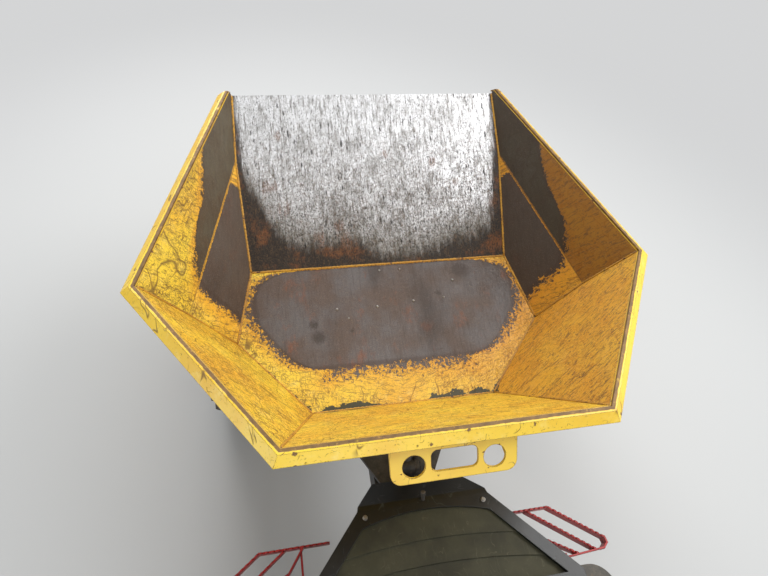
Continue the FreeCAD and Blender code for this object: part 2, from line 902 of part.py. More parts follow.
def build_front_chassis():
    outer = rail_inner + rail_width
    start = pivot_y + centre_reach
    end = front_axle_y + front_overhang
    front = both_sides(box(rail_inner, outer, start, end, rail_low, rail_high))
    front.append(box(-outer, outer, start, start + cross_plate, rail_low, rail_high))
    nose = front_profile([(-deck_half, rail_high), (deck_half, rail_high), (deck_half - 40.0, rail_low),
                          (-deck_half + 40.0, rail_low)], end - nose_plate, end)
    front.append(nose)
    deck = box(-deck_half, deck_half, slew_y - deck_half, slew_y + deck_half, rail_high, deck_top)
    front.append(round_edges(deck, deck_corner, is_vertical))
    gusset_out = deck_half - 2 * deck_plate
    gusset = [(outer, rail_low), (outer, rail_high), (gusset_out, rail_high), (gusset_out, rail_high - deck_plate)]
    for y in (slew_y - deck_gusset_reach, slew_y + deck_gusset_reach):
        front += both_sides(front_profile(gusset, y - deck_gusset / 2, y + deck_gusset / 2))
    front += centre_ears(start)
    front += steering_arms((centre_lug_low + centre_lug_high) / 2, outer)
    motor_y = slew_y - slew_outer - motor_back
    shelf_half = rail_inner + 20.0
    shelf_back = motor_y - motor_radius - 16.0
    shelf = box(-shelf_half, shelf_half, shelf_back, slew_y - deck_half + 10, rail_high, deck_top)
    front.append(shelf)
    parts["front_chassis"] = fuse(front)
    motor = along_z(0, motor_y, rail_high - motor_drop, deck_top + 20.0, motor_radius)
    housing = box(-motor_radius - 12, motor_radius + 12, motor_y - motor_radius - 6, slew_y - slew_outer - 1,
                  deck_top, deck_top + slew_height - 6)
    room = box(-shelf_half, shelf_half, shelf_back, slew_y, rail_high, deck_top)
    parts["slew_motor"] = fuse([motor, housing]).cut(room)
    pin_low = centre_lug_low - centre_ear - 14.0
    pin_high = centre_lug_high + centre_ear + 10.0
    pin = along_z(0, pivot_y, pin_low, pin_high, centre_pin_radius)
    cap = along_z(0, pivot_y, pin_high, pin_high + 8.0, centre_pin_radius + 12.0)
    parts["centre_pin"] = fuse([pin, cap])
    ring = along_z(0, slew_y, deck_top, deck_top + slew_height, slew_outer)
    parts["slew_ring"] = ring.cut(along_z(0, slew_y, deck_top - 1, deck_top + slew_height + 1, slew_inner))
    parts["front_axle"] = axle(front_axle_y)


def build_rear_chassis():
    outer = rail_inner + rail_width
    start = pivot_y - centre_reach
    end = rear_end_y + tail_depth
    rear = both_sides(box(rail_inner, outer, end, start, rail_low, rail_high))
    rear.append(box(-outer, outer, start - cross_plate, start, rail_low, rail_high))
    lug = box(-centre_half, centre_half, start, pivot_y, centre_lug_low, centre_lug_high)
    lug = lug.fuse(along_z(0, pivot_y, centre_lug_low, centre_lug_high, centre_half))
    bore = along_z(0, pivot_y, centre_lug_low - 5, centre_lug_high + 5, centre_pin_radius + running_gap)
    rear.append(lug.cut(bore))
    rear += steering_foot((centre_lug_low + centre_lug_high) / 2, outer)
    # Each row: place along the machine, half width of a cross bearer under the driver's place
    bearers = [(footplate_front - bearer_back, well_half), (footplate_back + bearer_back / 2, well_half),
               (rops_y, rops_half + rops_tube / 2)]
    for y, half in bearers:
        rear.append(box(-half, half, y - bearer_half, y + bearer_half, rail_high,
                        footplate_top - footplate_plate))
    parts["rear_chassis"] = fuse(rear)
    parts["rear_axle"] = axle(rear_axle_y)


def turned_facets(outline, count):
    """Ring with flat facets: an outline of (x, radius) points turned about the X axis in equal parts."""
    faces = []
    for index in range(count):
        turns = [2 * math.pi * (index + share - 0.5) / count for share in (0, 1)]
        for number, (x0, r0) in enumerate(outline):
            x1, r1 = outline[(number + 1) % len(outline)]
            corners = [V(x, r * math.sin(turn), -r * math.cos(turn))
                       for x, r, turn in ((x0, r0, turns[0]), (x0, r0, turns[1]), (x1, r1, turns[1]),
                                          (x1, r1, turns[0]))]
            faces.append(polygon_face(corners))
    return solid_of(faces)


def tyre_lug(middle, side):
    """Slanted bar of the tread, from the middle of the tyre to its shoulder."""
    half = tyre_width / 2
    floor = wheel_radius - lug_height - lug_sink
    # Each row: share of the half width, share of the lead, top radius, bottom radius
    stations = [
        (-0.06, 0.0, wheel_radius, floor),
        (0.93, 1.0, wheel_radius - 16.0, floor - 50.0),
    ]
    rings = []
    for share, lead, top, bottom in stations:
        turn = middle + (lead - 0.5) * lug_lead * lug_width * 2 / wheel_radius
        width = lug_width / wheel_radius / 2
        ring = []
        for edge, radius in ((-width, bottom), (width, bottom), (width * 0.8, top), (-width * 0.8, top)):
            ring.append(V(side * share * half, radius * math.sin(turn + edge), -radius * math.cos(turn + edge)))
        rings.append(ring)
    faces = [polygon_face(rings[0]), polygon_face(rings[-1])]
    for first, second in zip(rings, rings[1:]):
        for index in range(4):
            after = (index + 1) % 4
            faces.append(polygon_face([first[index], first[after], second[after]]))
            faces.append(polygon_face([first[index], second[after], second[index]]))
    return solid_of(faces)


def build_tyre():
    half = tyre_width / 2
    carcass = wheel_radius - lug_height
    facets = 2 * lugs_a_side
    seat = (rim_radius + running_gap) / math.cos(math.pi / facets)
    # Outline as rows of (share of half width, radius): bead, side wall, shoulder, tread
    rows = [(0.80, seat), (1.0, rim_radius + 70.0), (0.95, carcass - 36.0), (0.64, carcass)]
    outline = [(share * half, radius) for share, radius in rows]
    outline += [(-x, radius) for x, radius in reversed(outline)]
    pieces = [turned_facets(outline, facets)]
    for index in range(lugs_a_side):
        turn = 2 * math.pi * index / lugs_a_side
        pieces.append(tyre_lug(turn, 1))
        pieces.append(tyre_lug(turn + math.pi / lugs_a_side, -1))
    return pieces[0].multiFuse(pieces[1:])


def build_rim_disc():
    half = tyre_width / 2
    bead = 0.80 * half
    flange = 0.88 * half
    outline = [
        (-flange, rim_radius + rim_flange), (-bead, rim_radius), (bead, rim_radius),
        (flange, rim_radius + rim_flange), (flange, rim_radius - rim_wall), (bead * 0.6, rim_radius - rim_wall),
        (bead * 0.5, rim_radius - rim_well), (-bead * 0.5, rim_radius - rim_well),
        (-bead * 0.6, rim_radius - rim_wall), (-flange, rim_radius - rim_wall),
    ]
    rim = polygon_face([V(x, 0, z) for x, z in outline]).revolve(V(0, 0, 0), V(1, 0, 0), 360)
    face_x = disc_inset - half
    disc = along_x(face_x, face_x + disc_plate, 0, 0, rim_radius - rim_well + 2)
    disc = disc.cut(along_x(face_x - 5, face_x + disc_plate + 5, 0, 0, hub_radius + running_gap))
    bolts = []
    for index in range(wheel_bolts):
        turn = 2 * math.pi * index / wheel_bolts
        y = bolt_circle * math.cos(turn)
        z = bolt_circle * math.sin(turn)
        bolts.append(along_x(face_x + disc_plate - 1, face_x + disc_plate + bolt_height, y, z, bolt_radius))
    return fuse([rim, disc] + bolts)


def build_wheels():
    tyre = build_tyre()
    rim = build_rim_disc()
    # Each row: name, side, place along the machine
    for name, side, y in (("front_left", -1, front_axle_y), ("front_right", 1, front_axle_y),
                          ("rear_left", -1, rear_axle_y), ("rear_right", 1, rear_axle_y)):
        for kind, shape in (("tyre_", tyre), ("rim_", rim)):
            placed = shape.copy() if side > 0 else mirrored(shape)
            placed.translate(V(side * wheel_centre, y, wheel_radius))
            parts[kind + name] = placed


def build_platform():
    low = footplate_top - footplate_plate
    outer_radius = guard_radius + guard_plate
    reach = math.sqrt(outer_radius ** 2 - (footplate_top - wheel_radius) ** 2)
    meet_y = max(rear_axle_y + reach * 0.9, seat_front_y)
    plate = box(-footplate_half, footplate_half, meet_y, footplate_front, low, footplate_top)
    picks = lambda e: is_vertical(e) and e.Vertexes[0].Y > footplate_front - 1
    plate = round_edges(plate, footplate_corner, picks)
    well = box(-well_half, well_half, seat_front_y, meet_y + footplate_plate, low, footplate_top)
    arch = along_x(well_half, guard_outer, rear_axle_y, wheel_radius, outer_radius + running_gap)
    parts["footplate"] = fuse([plate, well]).cut(fuse(both_sides(arch)))
    trim_z = footplate_top - guard_trim
    room = box(guard_inner - 5, guard_outer + 5, rear_axle_y - 2 * guard_radius, rear_axle_y + 2 * guard_radius,
               trim_z, trim_z + 2 * guard_radius)
    guard = along_x(guard_inner, guard_outer, rear_axle_y, wheel_radius, outer_radius)
    guard = guard.cut(along_x(guard_inner - 5, guard_outer + 5, rear_axle_y, wheel_radius, guard_radius))
    web = along_x(guard_inner, guard_inner + guard_plate, rear_axle_y, wheel_radius, outer_radius)
    web = web.cut(along_x(guard_inner - 5, guard_outer, rear_axle_y, wheel_radius, guard_radius - guard_web))
    guard = fuse([guard.common(room), web.common(room)])
    parts["mudguard_right"] = guard
    parts["mudguard_left"] = mirrored(guard)


def step_bar_solid(start, end, toothed):
    """Flat bar on edge between two points of its top line, with square teeth if it is toothed."""
    run = end - start
    ahead = V(run)
    ahead.normalize()
    start = start - ahead * (step_bar / 2)
    length = run.Length + step_bar
    side = V(-ahead.y, ahead.x, 0)
    up = V(0, 0, 1)
    outline = [(0.0, -step_depth), (length, -step_depth)]
    if toothed:
        count = max(1, int(length / tooth_pitch))
        pitch = length / count
        for index in range(count, 0, -1):
            outline += [(index * pitch, -tooth_height), ((index - 0.3) * pitch, 0.0),
                        ((index - 0.6) * pitch, 0.0), ((index - 0.8) * pitch, -tooth_height)]
        outline.append((0.0, -tooth_height))
    else:
        outline += [(length, 0.0), (0.0, 0.0)]
    face = polygon_face([start - side * (step_bar / 2) + ahead * s + up * z for s, z in outline])
    return face.extrude(side * step_bar)


def build_steps():
    # Each row: start out from the well and back from the centre joint, the same for the end, toothed or not
    rows = [
        (-148.0, 17.0, 103.0, 17.0, True),
        (103.0, 17.0, 295.0, 156.0, True),
        (295.0, 156.0, 298.0, 176.0, False),
        (298.0, 176.0, 280.0, 192.0, False),
        (280.0, 192.0, 76.0, 204.0, False),
        (-55.0, 17.0, 76.0, 204.0, False),
        (15.0, 22.0, 246.0, 192.0, True),
        (4.0, 98.0, 172.0, 196.0, True),
    ]
    pieces = []
    for out0, back0, out1, back1, toothed in rows:
        start = V(well_half + out0, pivot_y - back0, step_z)
        end = V(well_half + out1, pivot_y - back1, step_z)
        pieces.append(step_bar_solid(start, end, toothed))
    low = step_z - step_depth
    under = footplate_top - footplate_plate
    lower_y = pivot_y - rows[4][3]
    front_bar_y = pivot_y - rows[0][1]
    hanger_x = well_half + step_hanger_out
    pieces.append(box(hanger_x, hanger_x + step_hanger, footplate_front - step_arm_in, lower_y + step_hanger,
                      low, under))
    bearer = footplate_front - bearer_back + bearer_half
    arm_x = well_half - step_arm_in
    top = step_z - tooth_height
    pieces.append(box(arm_x, arm_x + step_arm, bearer, front_bar_y, low, top))
    pieces.append(box(arm_x, arm_x + step_arm, bearer, bearer + step_arm_in, low, under))
    parts["step_right"] = fuse(pieces)
    parts["step_left"] = mirrored(parts["step_right"])


def cowl_outline(front_inset, side_inset, rear_inset):
    """Plan outline of the cowl, right then left: narrow in front, flared to a knee, straight at the rear."""
    knee_y = max(cowl_front_y - (well_half - cowl_front_half) / cowl_flare, cowl_rear_y + cowl_border)
    flare = (well_half - cowl_front_half) / (cowl_front_y - knee_y)
    lean_in = side_inset * math.sqrt(1 + flare * flare)
    front_y = cowl_front_y - front_inset
    rear_y = cowl_rear_y + rear_inset
    rear_half = well_half - side_inset
    knee_y = cowl_front_y - (rear_half + lean_in - cowl_front_half) / flare
    half = [(cowl_front_half + flare * front_inset - lean_in, front_y)]
    if knee_y > rear_y + 1:
        half += [(rear_half, knee_y), (rear_half, rear_y)]
    else:
        half.append((cowl_front_half + flare * (cowl_front_y - rear_y) - lean_in, rear_y))
    return half + [(-x, y) for x, y in reversed(half)]


def cowl_slab(outline, low, high):
    """Solid over an outline between two levels below or above the cowl's leaning top."""
    rings = []
    for level in (low, high):
        rings.append([V(x, y, cowl_front_z + cowl_lean * (cowl_front_y - y) + level) for x, y in outline])
    return ruled_solid(rings[0], rings[1])


def behind_arc(rear_y, front_y, half, bow):
    """Tall block with a shallow arc for its front, which stands ahead of its corners by the bow."""
    low = footplate_top
    corner = V(half, front_y - bow, low)
    front = Part.Arc(V(-half, corner.y, low), V(0, front_y, low), corner).toShape()
    rest = Part.makePolygon([corner, V(half, rear_y, low), V(-half, rear_y, low), V(-half, corner.y, low)])
    face = Part.Face(Part.Wire(front.Edges + rest.Edges))
    return face.extrude(V(0, 0, cowl_rise * 2))


def cowl_opening():
    """Tall column over the opening that the moulded panel fills."""
    outline = cowl_outline(cowl_front_border, cowl_border, cowl_border)
    corner_half, corner_y = outline[0]
    low = footplate_top
    left = V(-corner_half, corner_y, low)
    right = V(corner_half, corner_y, low)
    front = Part.Arc(left, V(0, corner_y + cowl_panel_bow, low), right).toShape()
    rest = Part.makePolygon([V(x, y, low) for x, y in outline])
    face = Part.Face(Part.Wire(front.Edges + rest.Edges))
    column = face.extrude(V(0, 0, cowl_rise * 2))
    return round_edges(column, cowl_panel_corner,
                       lambda e: is_vertical(e) and abs(e.Vertexes[0].Y - corner_y) < 1)


def build_cowl():
    column = cowl_opening()
    frame = cowl_slab(cowl_outline(0.0, 0.0, 0.0), -cowl_depth, 0.0).cut(column)
    fold_y = cowl_front_y + cowl_fold
    fold_z = cowl_front_z - cowl_fold_drop
    # Each row: half width, place along the machine, height, of the front skin from the top edge down
    rows = [
        (cowl_front_half, cowl_front_y, cowl_front_z),
        (cowl_front_half - cowl_fold_drop, fold_y, fold_z),
        (fascia_low_half, fold_y + fascia_reach, fold_z - fascia_drop),
    ]
    skins = []
    for (half0, y0, z0), (half1, y1, z1) in zip(rows, rows[1:]):
        upper = [V(-half0, y0, z0), V(half0, y0, z0), V(half1, y1, z1), V(-half1, y1, z1)]
        lower = [point - V(0, 0, fascia_plate * 1.6) for point in upper]
        skins.append(ruled_solid(upper, lower))
    parts["cowl_frame"] = fuse([frame] + skins)
    whole = cowl_outline(0.0, 0.0, 0.0)
    panel = column.common(cowl_slab(whole, -cowl_panel_drop - cowl_panel_plate, -cowl_panel_drop))
    # Each row: distance of a moulded step behind the cowl's front edge, and its bow
    steps = [(114.0, 56.0), (187.0, 50.0)]
    for number, (back, bow) in enumerate(steps):
        drop = cowl_panel_drop + cowl_step * (number + 1)
        block = behind_arc(cowl_rear_y - cowl_depth, cowl_front_y - back, well_half, bow)
        panel = panel.cut(block.common(cowl_slab(whole, -drop, cowl_depth)))
    parts["cowl_panel"] = panel
    wall_high = cowl_rear_z - cowl_border
    leg_front = cowl_rear_y + cowl_leg * 0.7
    leg = box(well_half - cowl_leg, well_half, cowl_rear_y, leg_front, footplate_top, wall_high)
    wall = box(-well_half, well_half, cowl_rear_y, cowl_rear_y + cowl_wall_plate, footplate_top, wall_high)
    parts["cowl_wall"] = fuse([wall] + both_sides(leg)).cut(parts["cowl_frame"])


def build_console():
    outline = [
        (console_front_y, footplate_top),
        (console_front_y, cowl_rear_z + console_toe),
        (console_front_y - console_slope, console_top),
        (console_rear_y, console_top - console_fall),
        (console_rear_y + console_toe, footplate_top),
    ]
    body = side_profile(outline, -console_half, console_half)
    body = body.cut(box(-well_half, well_half, cowl_rear_y - 2.0, cowl_front_y, footplate_top - 5,
                        cowl_rear_z + console_lap))
    parts["console"] = body
    lean = math.radians(column_lean)
    hub = V(0, steering_wheel_y, steering_wheel_z)
    axis = V(0, -math.sin(lean), math.cos(lean))
    ring = Part.makeTorus(steering_wheel_radius - steering_wheel_grip, steering_wheel_grip, hub, axis)
    centre = rod(hub - axis * hub_cap_depth, hub + axis * 12.0, hub_cap_radius)
    spokes = []
    for turn in (90.0, 210.0, 330.0):
        arm = Part.makeBox(steering_wheel_radius - steering_wheel_grip, spoke_width, spoke_plate,
                           V(0, -spoke_width / 2, -spoke_plate / 2))
        arm.rotate(V(0, 0, 0), V(0, 0, 1), turn)
        arm.rotate(V(0, 0, 0), V(1, 0, 0), column_lean)
        arm.translate(hub)
        spokes.append(arm)
    parts["steering_wheel"] = fuse([ring, centre] + spokes)
    start = hub - axis * (hub_cap_depth + running_gap)
    column = rod(start - axis * column_length, start, column_radius)
    boot = Part.makeCone(boot_radius, column_radius + 2.0, boot_length, start - axis * boot_start, axis)
    column = fuse([column, boot]).cut(parts["console"])
    solids = sorted(column.Solids, key=lambda solid: solid.Volume)
    parts["steering_column"] = solids[-1]
    levers = []
    for share in (0.25, 0.75):
        y = console_front_y - console_slope + (console_rear_y - console_front_y + console_slope) * share
        top = console_top + lever_rise
        stem = along_z(lever_x, y, console_top - lever_sink, top, lever_radius)
        knob = along_z(lever_x, y, top - 6.0, top + 2 * lever_knob, lever_knob)
        knob = knob.makeChamfer(lever_knob * 0.35, [e for e in knob.Edges if len(e.Vertexes) == 1])
        boot = Part.makeCone(lever_knob * 1.5, lever_radius + 2.0, lever_sink, V(lever_x, y, console_top - 25.0))
        levers.append(fuse([stem, knob, boot]).cut(parts["console"]))
    parts["levers"] = Part.Compound([max(lever.Solids, key=lambda solid: solid.Volume) for lever in levers])


def build_pedals():
    pads = []
    pad_top = footplate_top + pedal_rise
    for side in (-1, 1):
        x = side * pedal_x
        pad = box(-pedal_half, pedal_half, -pedal_length, 0, -pedal_plate, 0)
        pad = round_edges(pad, 14.0, is_vertical)
        pad.rotate(V(0, 0, 0), V(1, 0, 0), pedal_lean)
        pad.translate(V(x, cowl_rear_y - pedal_gap, pad_top))
        middle = pedal_length * 0.45
        lean = math.radians(pedal_lean)
        stalk_z = pad_top - middle * math.sin(lean)
        stalk_y = cowl_rear_y - pedal_gap - middle * math.cos(lean)
        stalk = box(x - 10, x + 10, stalk_y, cowl_rear_y, stalk_z - pedal_plate, stalk_z + pedal_plate)
        above = box(-pedal_half, pedal_half, -pedal_length, 0, 0, 4 * pedal_plate)
        above.rotate(V(0, 0, 0), V(1, 0, 0), pedal_lean)
        above.translate(V(x, cowl_rear_y - pedal_gap, pad_top))
        pads.append(fuse([pad, stalk.cut(above)]))
    parts["pedals"] = Part.Compound(pads)


def build_seat():
    parts["seat_plinth"] = side_profile(
        [
            (seat_front_y, rail_high),
            (seat_front_y, footplate_top),
            (seat_front_y - plinth_side, plinth_top),
            (seat_back_y - plinth_rear, plinth_top),
            (seat_back_y - plinth_rear, rail_high),
        ],
        -seat_half - plinth_side,
        seat_half + plinth_side,
    )
    cushion = box(-seat_half, seat_half, seat_back_y, seat_front_y, plinth_top + running_gap,
                  plinth_top + cushion_height)
    parts["seat_cushion"] = round_edges(cushion, 40.0, is_vertical)
    back = box(-seat_half, seat_half, -backrest_depth, 0, 0, backrest_height)
    back = round_edges(back, 60.0, lambda e: is_along_y(e) and e.Vertexes[0].Z > backrest_height / 2)
    back.rotate(V(0, 0, 0), V(1, 0, 0), backrest_lean)
    back.translate(V(0, seat_back_y - running_gap, plinth_top + backrest_rise))
    parts["seat_back"] = back


def louvred(body):
    """Rows of pressed louvres, open downwards, on both sides of the hood."""
    start = (rear_end_y + hood_set_in + hood_front_y - louvre_length) / 2
    wedges = []
    rooms = []
    for index in range(louvres):
        low = hood_low + louvre_rise + index * louvre_pitch
        outline = [(hood_half - hood_plate / 2, low), (hood_half + louvre_reach, low),
                   (hood_half - hood_plate / 2, low + louvre_height)]
        wedges += both_sides(front_profile(outline, start, start + louvre_length))
        wall = louvre_wall
        inner = [(hood_half - 2 * hood_plate, low - 1), (hood_half + louvre_reach - 2 * wall, low - 1),
                 (hood_half - 2 * hood_plate, low + louvre_height)]
        rooms += both_sides(front_profile(inner, start + wall, start + louvre_length - wall))
    return fuse([body] + wedges).cut(Part.Compound(rooms))


def build_hood():
    hood_rear = rear_end_y + hood_set_in
    top_edge = lambda e: is_along_y(e) and e.Vertexes[0].Z > hood_high - 1
    inner_edge = lambda e: is_along_y(e) and e.Vertexes[0].Z > hood_high - hood_plate - 1
    body = box(-hood_half, hood_half, hood_rear, hood_front_y - 2.0, hood_low, hood_high)
    body = round_edges(body, hood_round, top_edge)
    inner = box(-hood_half + hood_plate, hood_half - hood_plate, hood_rear + hood_plate, hood_front_y + 50,
                hood_low - 5, hood_high - hood_plate)
    inner = round_edges(inner, hood_round - hood_plate, inner_edge)
    body = louvred(body.cut(inner))
    for index in range(grille_slots):
        low = hood_low + grille_rise + index * grille_pitch
        body = body.cut(box(-grille_half, grille_half, hood_rear - 1, hood_rear + hood_plate + 1,
                            low, low + grille_slot))
    pin_z = hood_high + hood_pin_rise
    pin_y = hood_front_y + firewall_plate / 2
    wall = box(-hood_half, hood_half, hood_front_y, hood_front_y + firewall_plate, rail_high, hood_high)
    wall_parts = [round_edges(wall, hood_round, top_edge)]
    leaf_parts = [body]
    eye_radius = hood_pin_radius + hood_pin_wall
    for side in (-1, 1):
        x = side * hood_hinge_x
        pin_start = hood_hinge_x - hood_ear_half - 4.0
        pin_end = hood_hinge_x + hood_leaf_side + hood_leaf_half + 2.0
        wall_parts.append(along_x(side * pin_start, side * pin_end, pin_y, pin_z, hood_pin_radius))
        wall_parts.append(box(x - hood_ear_half, x + hood_ear_half, hood_front_y,
                              hood_front_y + firewall_plate, hood_high - 10, pin_z))
        wall_parts.append(along_x(x - hood_ear_half, x + hood_ear_half, pin_y, pin_z, eye_radius))
        low_x = side * (hood_hinge_x + hood_leaf_side) - hood_leaf_half
        high_x = low_x + 2 * hood_leaf_half
        eye = along_x(low_x, high_x, pin_y, pin_z, eye_radius)
        leaf = box(low_x, high_x, hood_front_y - 40, pin_y, hood_high - 2, hood_high + 6)
        eye = fuse([eye, leaf])
        eye = eye.cut(along_x(low_x - 6, high_x + 6, pin_y, pin_z, hood_pin_radius + running_gap))
        leaf_parts.append(eye.cut(box(low_x - 6, high_x + 6, hood_front_y - 1.5, pin_y + 20,
                                      hood_high - 20, hood_high + running_gap)))
    parts["hood"] = fuse(leaf_parts)
    parts["firewall"] = fuse(wall_parts)
    parts["engine_block"] = box(-engine_half, engine_half, rear_end_y + tail_depth + engine_rear_gap,
                                hood_front_y - engine_front_gap, rail_high, hood_high - engine_top_gap)


def build_tail():
    tail_y = rear_end_y
    weight = box(-tail_half, tail_half, tail_y, tail_y + tail_depth, tail_low, tail_high)
    weight = round_edges(weight, tail_corner, lambda e: is_vertical(e) and e.Vertexes[0].Y < tail_y + 1)
    jaw_low = tail_low + tow_jaw_rise
    jaw = box(-tow_jaw_half, tow_jaw_half, tail_y - 5, tail_y + tow_jaw_depth, jaw_low, jaw_low + tow_jaw_height)
    pin_y = tail_y + tow_pin_ahead
    bore = along_z(0, pin_y, jaw_low - 30, tail_high + 5, tow_pin_radius + running_gap)
    parts["counterweight"] = weight.cut(jaw).cut(bore)
    pin = along_z(0, pin_y, jaw_low - 28, tail_high + 24, tow_pin_radius)
    head = along_z(0, pin_y, tail_high + running_gap, tail_high + 12, tow_pin_radius + 9)
    parts["tow_pin"] = fuse([pin, head])
    lamps = []
    for side in (-1, 1):
        x = side * lamp_x
        lamp = box(x - lamp_half, x + lamp_half, tail_y + lamp_set_in, tail_y + lamp_set_in + lamp_depth,
                   tail_high, tail_high + lamp_height)
        lamps.append(round_edges(lamp, 12.0, is_along_y))
    parts["rear_lamps"] = Part.Compound(lamps)
    # Tanks between the steps and the rear wheels
    tank_in = steer_head_x + steer_eye_radius + tank_gap
    tank = box(tank_in, well_half - 10.0, footplate_back + bearer_back / 2 + bearer_half + 2.0,
               footplate_front - bearer_back - bearer_half - 8.0, rail_low - tank_drop,
               footplate_top - footplate_plate)
    tank = round_edges(tank, tank_round, is_along_y)
    parts["fuel_tank"] = tank
    parts["hydraulic_tank"] = mirrored(tank)


def build_rops():
    low = footplate_top - footplate_plate
    half = rops_tube / 2
    post_top = rops_hinge_z - rops_post_down
    plate_low = rops_hinge_z - rops_hinge_down
    plate_high = rops_hinge_z + rops_hinge_up
    reach = half + rops_hinge_plate
    x = rops_half
    post = [box(x - half, x + half, rops_y - half, rops_y + half, low, post_top)]
    for start in (x - reach, x + half):
        plate = box(start, start + rops_hinge_plate, rops_y - half, rops_y + half, plate_low, plate_high)
        post.append(plate)
    pin_reach = reach + rops_pin_end
    post.append(along_x(x - pin_reach, x + pin_reach, rops_y, rops_hinge_z, rops_pin_radius))
    parts["rops_posts"] = fuse(both_sides(fuse(post)))
    hoop_low = rops_hinge_z - rops_hinge_up
    side_out = rops_half + half - running_gap
    side_in = rops_half - half + running_gap
    outline = [
        (-side_out, hoop_low), (-side_out, rops_top_z), (side_out, rops_top_z), (side_out, hoop_low),
        (side_in, hoop_low), (side_in, rops_top_z - rops_tube),
        (-side_in, rops_top_z - rops_tube), (-side_in, hoop_low),
    ]
    hoop = front_profile(outline, rops_y - half, rops_y + half)
    outer = lambda e: is_along_y(e) and e.Vertexes[0].Z > rops_top_z - 1
    inner = lambda e: is_along_y(e) and abs(e.Vertexes[0].Z - rops_top_z + rops_tube) < 1
    hoop = round_edges(hoop, rops_bend, outer)
    hoop = round_edges(hoop, rops_bend - rops_tube, inner)
    hole = along_x(-side_out - 5, side_out + 5, rops_y, rops_hinge_z, rops_pin_radius + running_gap)
    parts["rops_hoop"] = hoop.cut(hole)


build_skip_shell()
build_rim()
build_bracket()
build_skip_rails()
build_swivel_frame()
build_rams()
build_front_chassis()
build_rear_chassis()
build_wheels()
build_platform()
build_steps()
build_cowl()
build_console()
build_pedals()
build_seat()
build_hood()
build_tail()
build_rops()

os.makedirs("parts", exist_ok=True)
for name, shape in parts.items():
    shape.exportStep("parts/" + name + ".step")
    print(name, len(shape.Solids), "solids", round(shape.Volume / 1e6, 2), "litres", shape.isValid())
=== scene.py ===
import json
import math
import random

import bmesh
import bpy
from mathutils import Euler, Matrix, Vector


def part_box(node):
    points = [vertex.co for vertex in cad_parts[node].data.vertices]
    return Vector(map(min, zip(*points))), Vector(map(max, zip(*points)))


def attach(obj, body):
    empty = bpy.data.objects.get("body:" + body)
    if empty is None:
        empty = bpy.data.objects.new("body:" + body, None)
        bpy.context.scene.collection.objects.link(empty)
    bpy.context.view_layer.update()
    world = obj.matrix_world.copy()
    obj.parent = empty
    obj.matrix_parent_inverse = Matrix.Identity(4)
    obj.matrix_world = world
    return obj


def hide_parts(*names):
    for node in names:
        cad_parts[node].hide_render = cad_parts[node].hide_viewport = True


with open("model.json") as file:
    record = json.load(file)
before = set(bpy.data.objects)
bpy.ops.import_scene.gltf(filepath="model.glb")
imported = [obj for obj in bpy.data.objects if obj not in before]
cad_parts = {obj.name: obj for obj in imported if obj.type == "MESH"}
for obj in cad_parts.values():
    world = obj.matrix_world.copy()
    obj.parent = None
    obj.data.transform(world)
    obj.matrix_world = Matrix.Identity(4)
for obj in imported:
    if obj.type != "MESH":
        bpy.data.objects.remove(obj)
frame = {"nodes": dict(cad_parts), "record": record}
nodes = frame["nodes"]
joints = {row["name"]: row for row in frame["record"]["behaviour"]["joints"]}
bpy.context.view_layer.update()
print("frame loaded,", len(nodes), "nodes")


# Where the skip's rim corners are: its own frame for every mark of wear
tipPivot = Vector(joints["skip_tip"]["pos_m"])
rimCorner = Vector((0.0, tipPivot.y - 0.370, tipPivot.z + 0.440))
skipInside = rimCorner + Vector((0.0, 0.1, -0.12))


def rgb(red, green, blue):
    # screen colour, 0 to 255, to the linear colour of Blender's sockets
    shares = [channel / 255 for channel in (red, green, blue)]
    linear = [s / 12.92 if s <= 0.04045 else ((s + 0.055) / 1.055) ** 2.4 for s in shares]
    return (*linear, 1.0)


def wire(tree, socket, value):
    if isinstance(value, bpy.types.NodeSocket):
        tree.links.new(value, socket)
    elif value is not None:
        socket.default_value = value


def addNode(tree, kind, values=None, **settings):
    node = tree.nodes.new(kind)
    for name, setting in settings.items():
        setattr(node, name, setting)
    for name, value in (values or {}).items():
        wire(tree, node.inputs[name], value)
    return node


def calc(tree, operation, first, second=None, third=None):
    node = addNode(tree, "ShaderNodeMath", operation=operation)
    for socket, value in zip(node.inputs, (first, second, third)):
        wire(tree, socket, value)
    return node.outputs[0]


def vectorCalc(tree, operation, first, second=None):
    node = addNode(tree, "ShaderNodeVectorMath", operation=operation)
    wire(tree, node.inputs[0], first)
    wire(tree, node.inputs[1], second)
    return node.outputs["Value"] if operation == "DOT_PRODUCT" else node.outputs["Vector"]


def fade(tree, value, start, end, low=0.0, high=1.0):
    # smooth step from low at start to high at end
    node = addNode(tree, "ShaderNodeMapRange", interpolation_type="SMOOTHSTEP")
    for name, number in (("Value", value), ("From Min", start), ("From Max", end),
                         ("To Min", low), ("To Max", high)):
        wire(tree, node.inputs[name], number)
    return node.outputs[0]


def blendColour(tree, share, first, second, mode="MIX"):
    node = addNode(tree, "ShaderNodeMix", data_type="RGBA", blend_type=mode)
    wire(tree, node.inputs[0], share)
    wire(tree, node.inputs[6], first)
    wire(tree, node.inputs[7], second)
    return node.outputs[2]


def blendValue(tree, share, first, second):
    node = addNode(tree, "ShaderNodeMix", data_type="FLOAT")
    wire(tree, node.inputs[0], share)
    wire(tree, node.inputs[2], first)
    wire(tree, node.inputs[3], second)
    return node.outputs[0]


def noise(tree, vector, scale, detail=3.0, roughness=0.55, output=0):
    node = addNode(tree, "ShaderNodeTexNoise", {"Vector": vector, "Scale": scale, "Detail": detail,
                                                "Roughness": roughness})
    return node.outputs[output]


def stretch(tree, vector, size, turn=(0.0, 0.0, 0.0)):
    node = addNode(tree, "ShaderNodeMapping", {"Vector": vector, "Scale": size,
                                               "Rotation": tuple(math.radians(a) for a in turn)})
    return node.outputs[0]


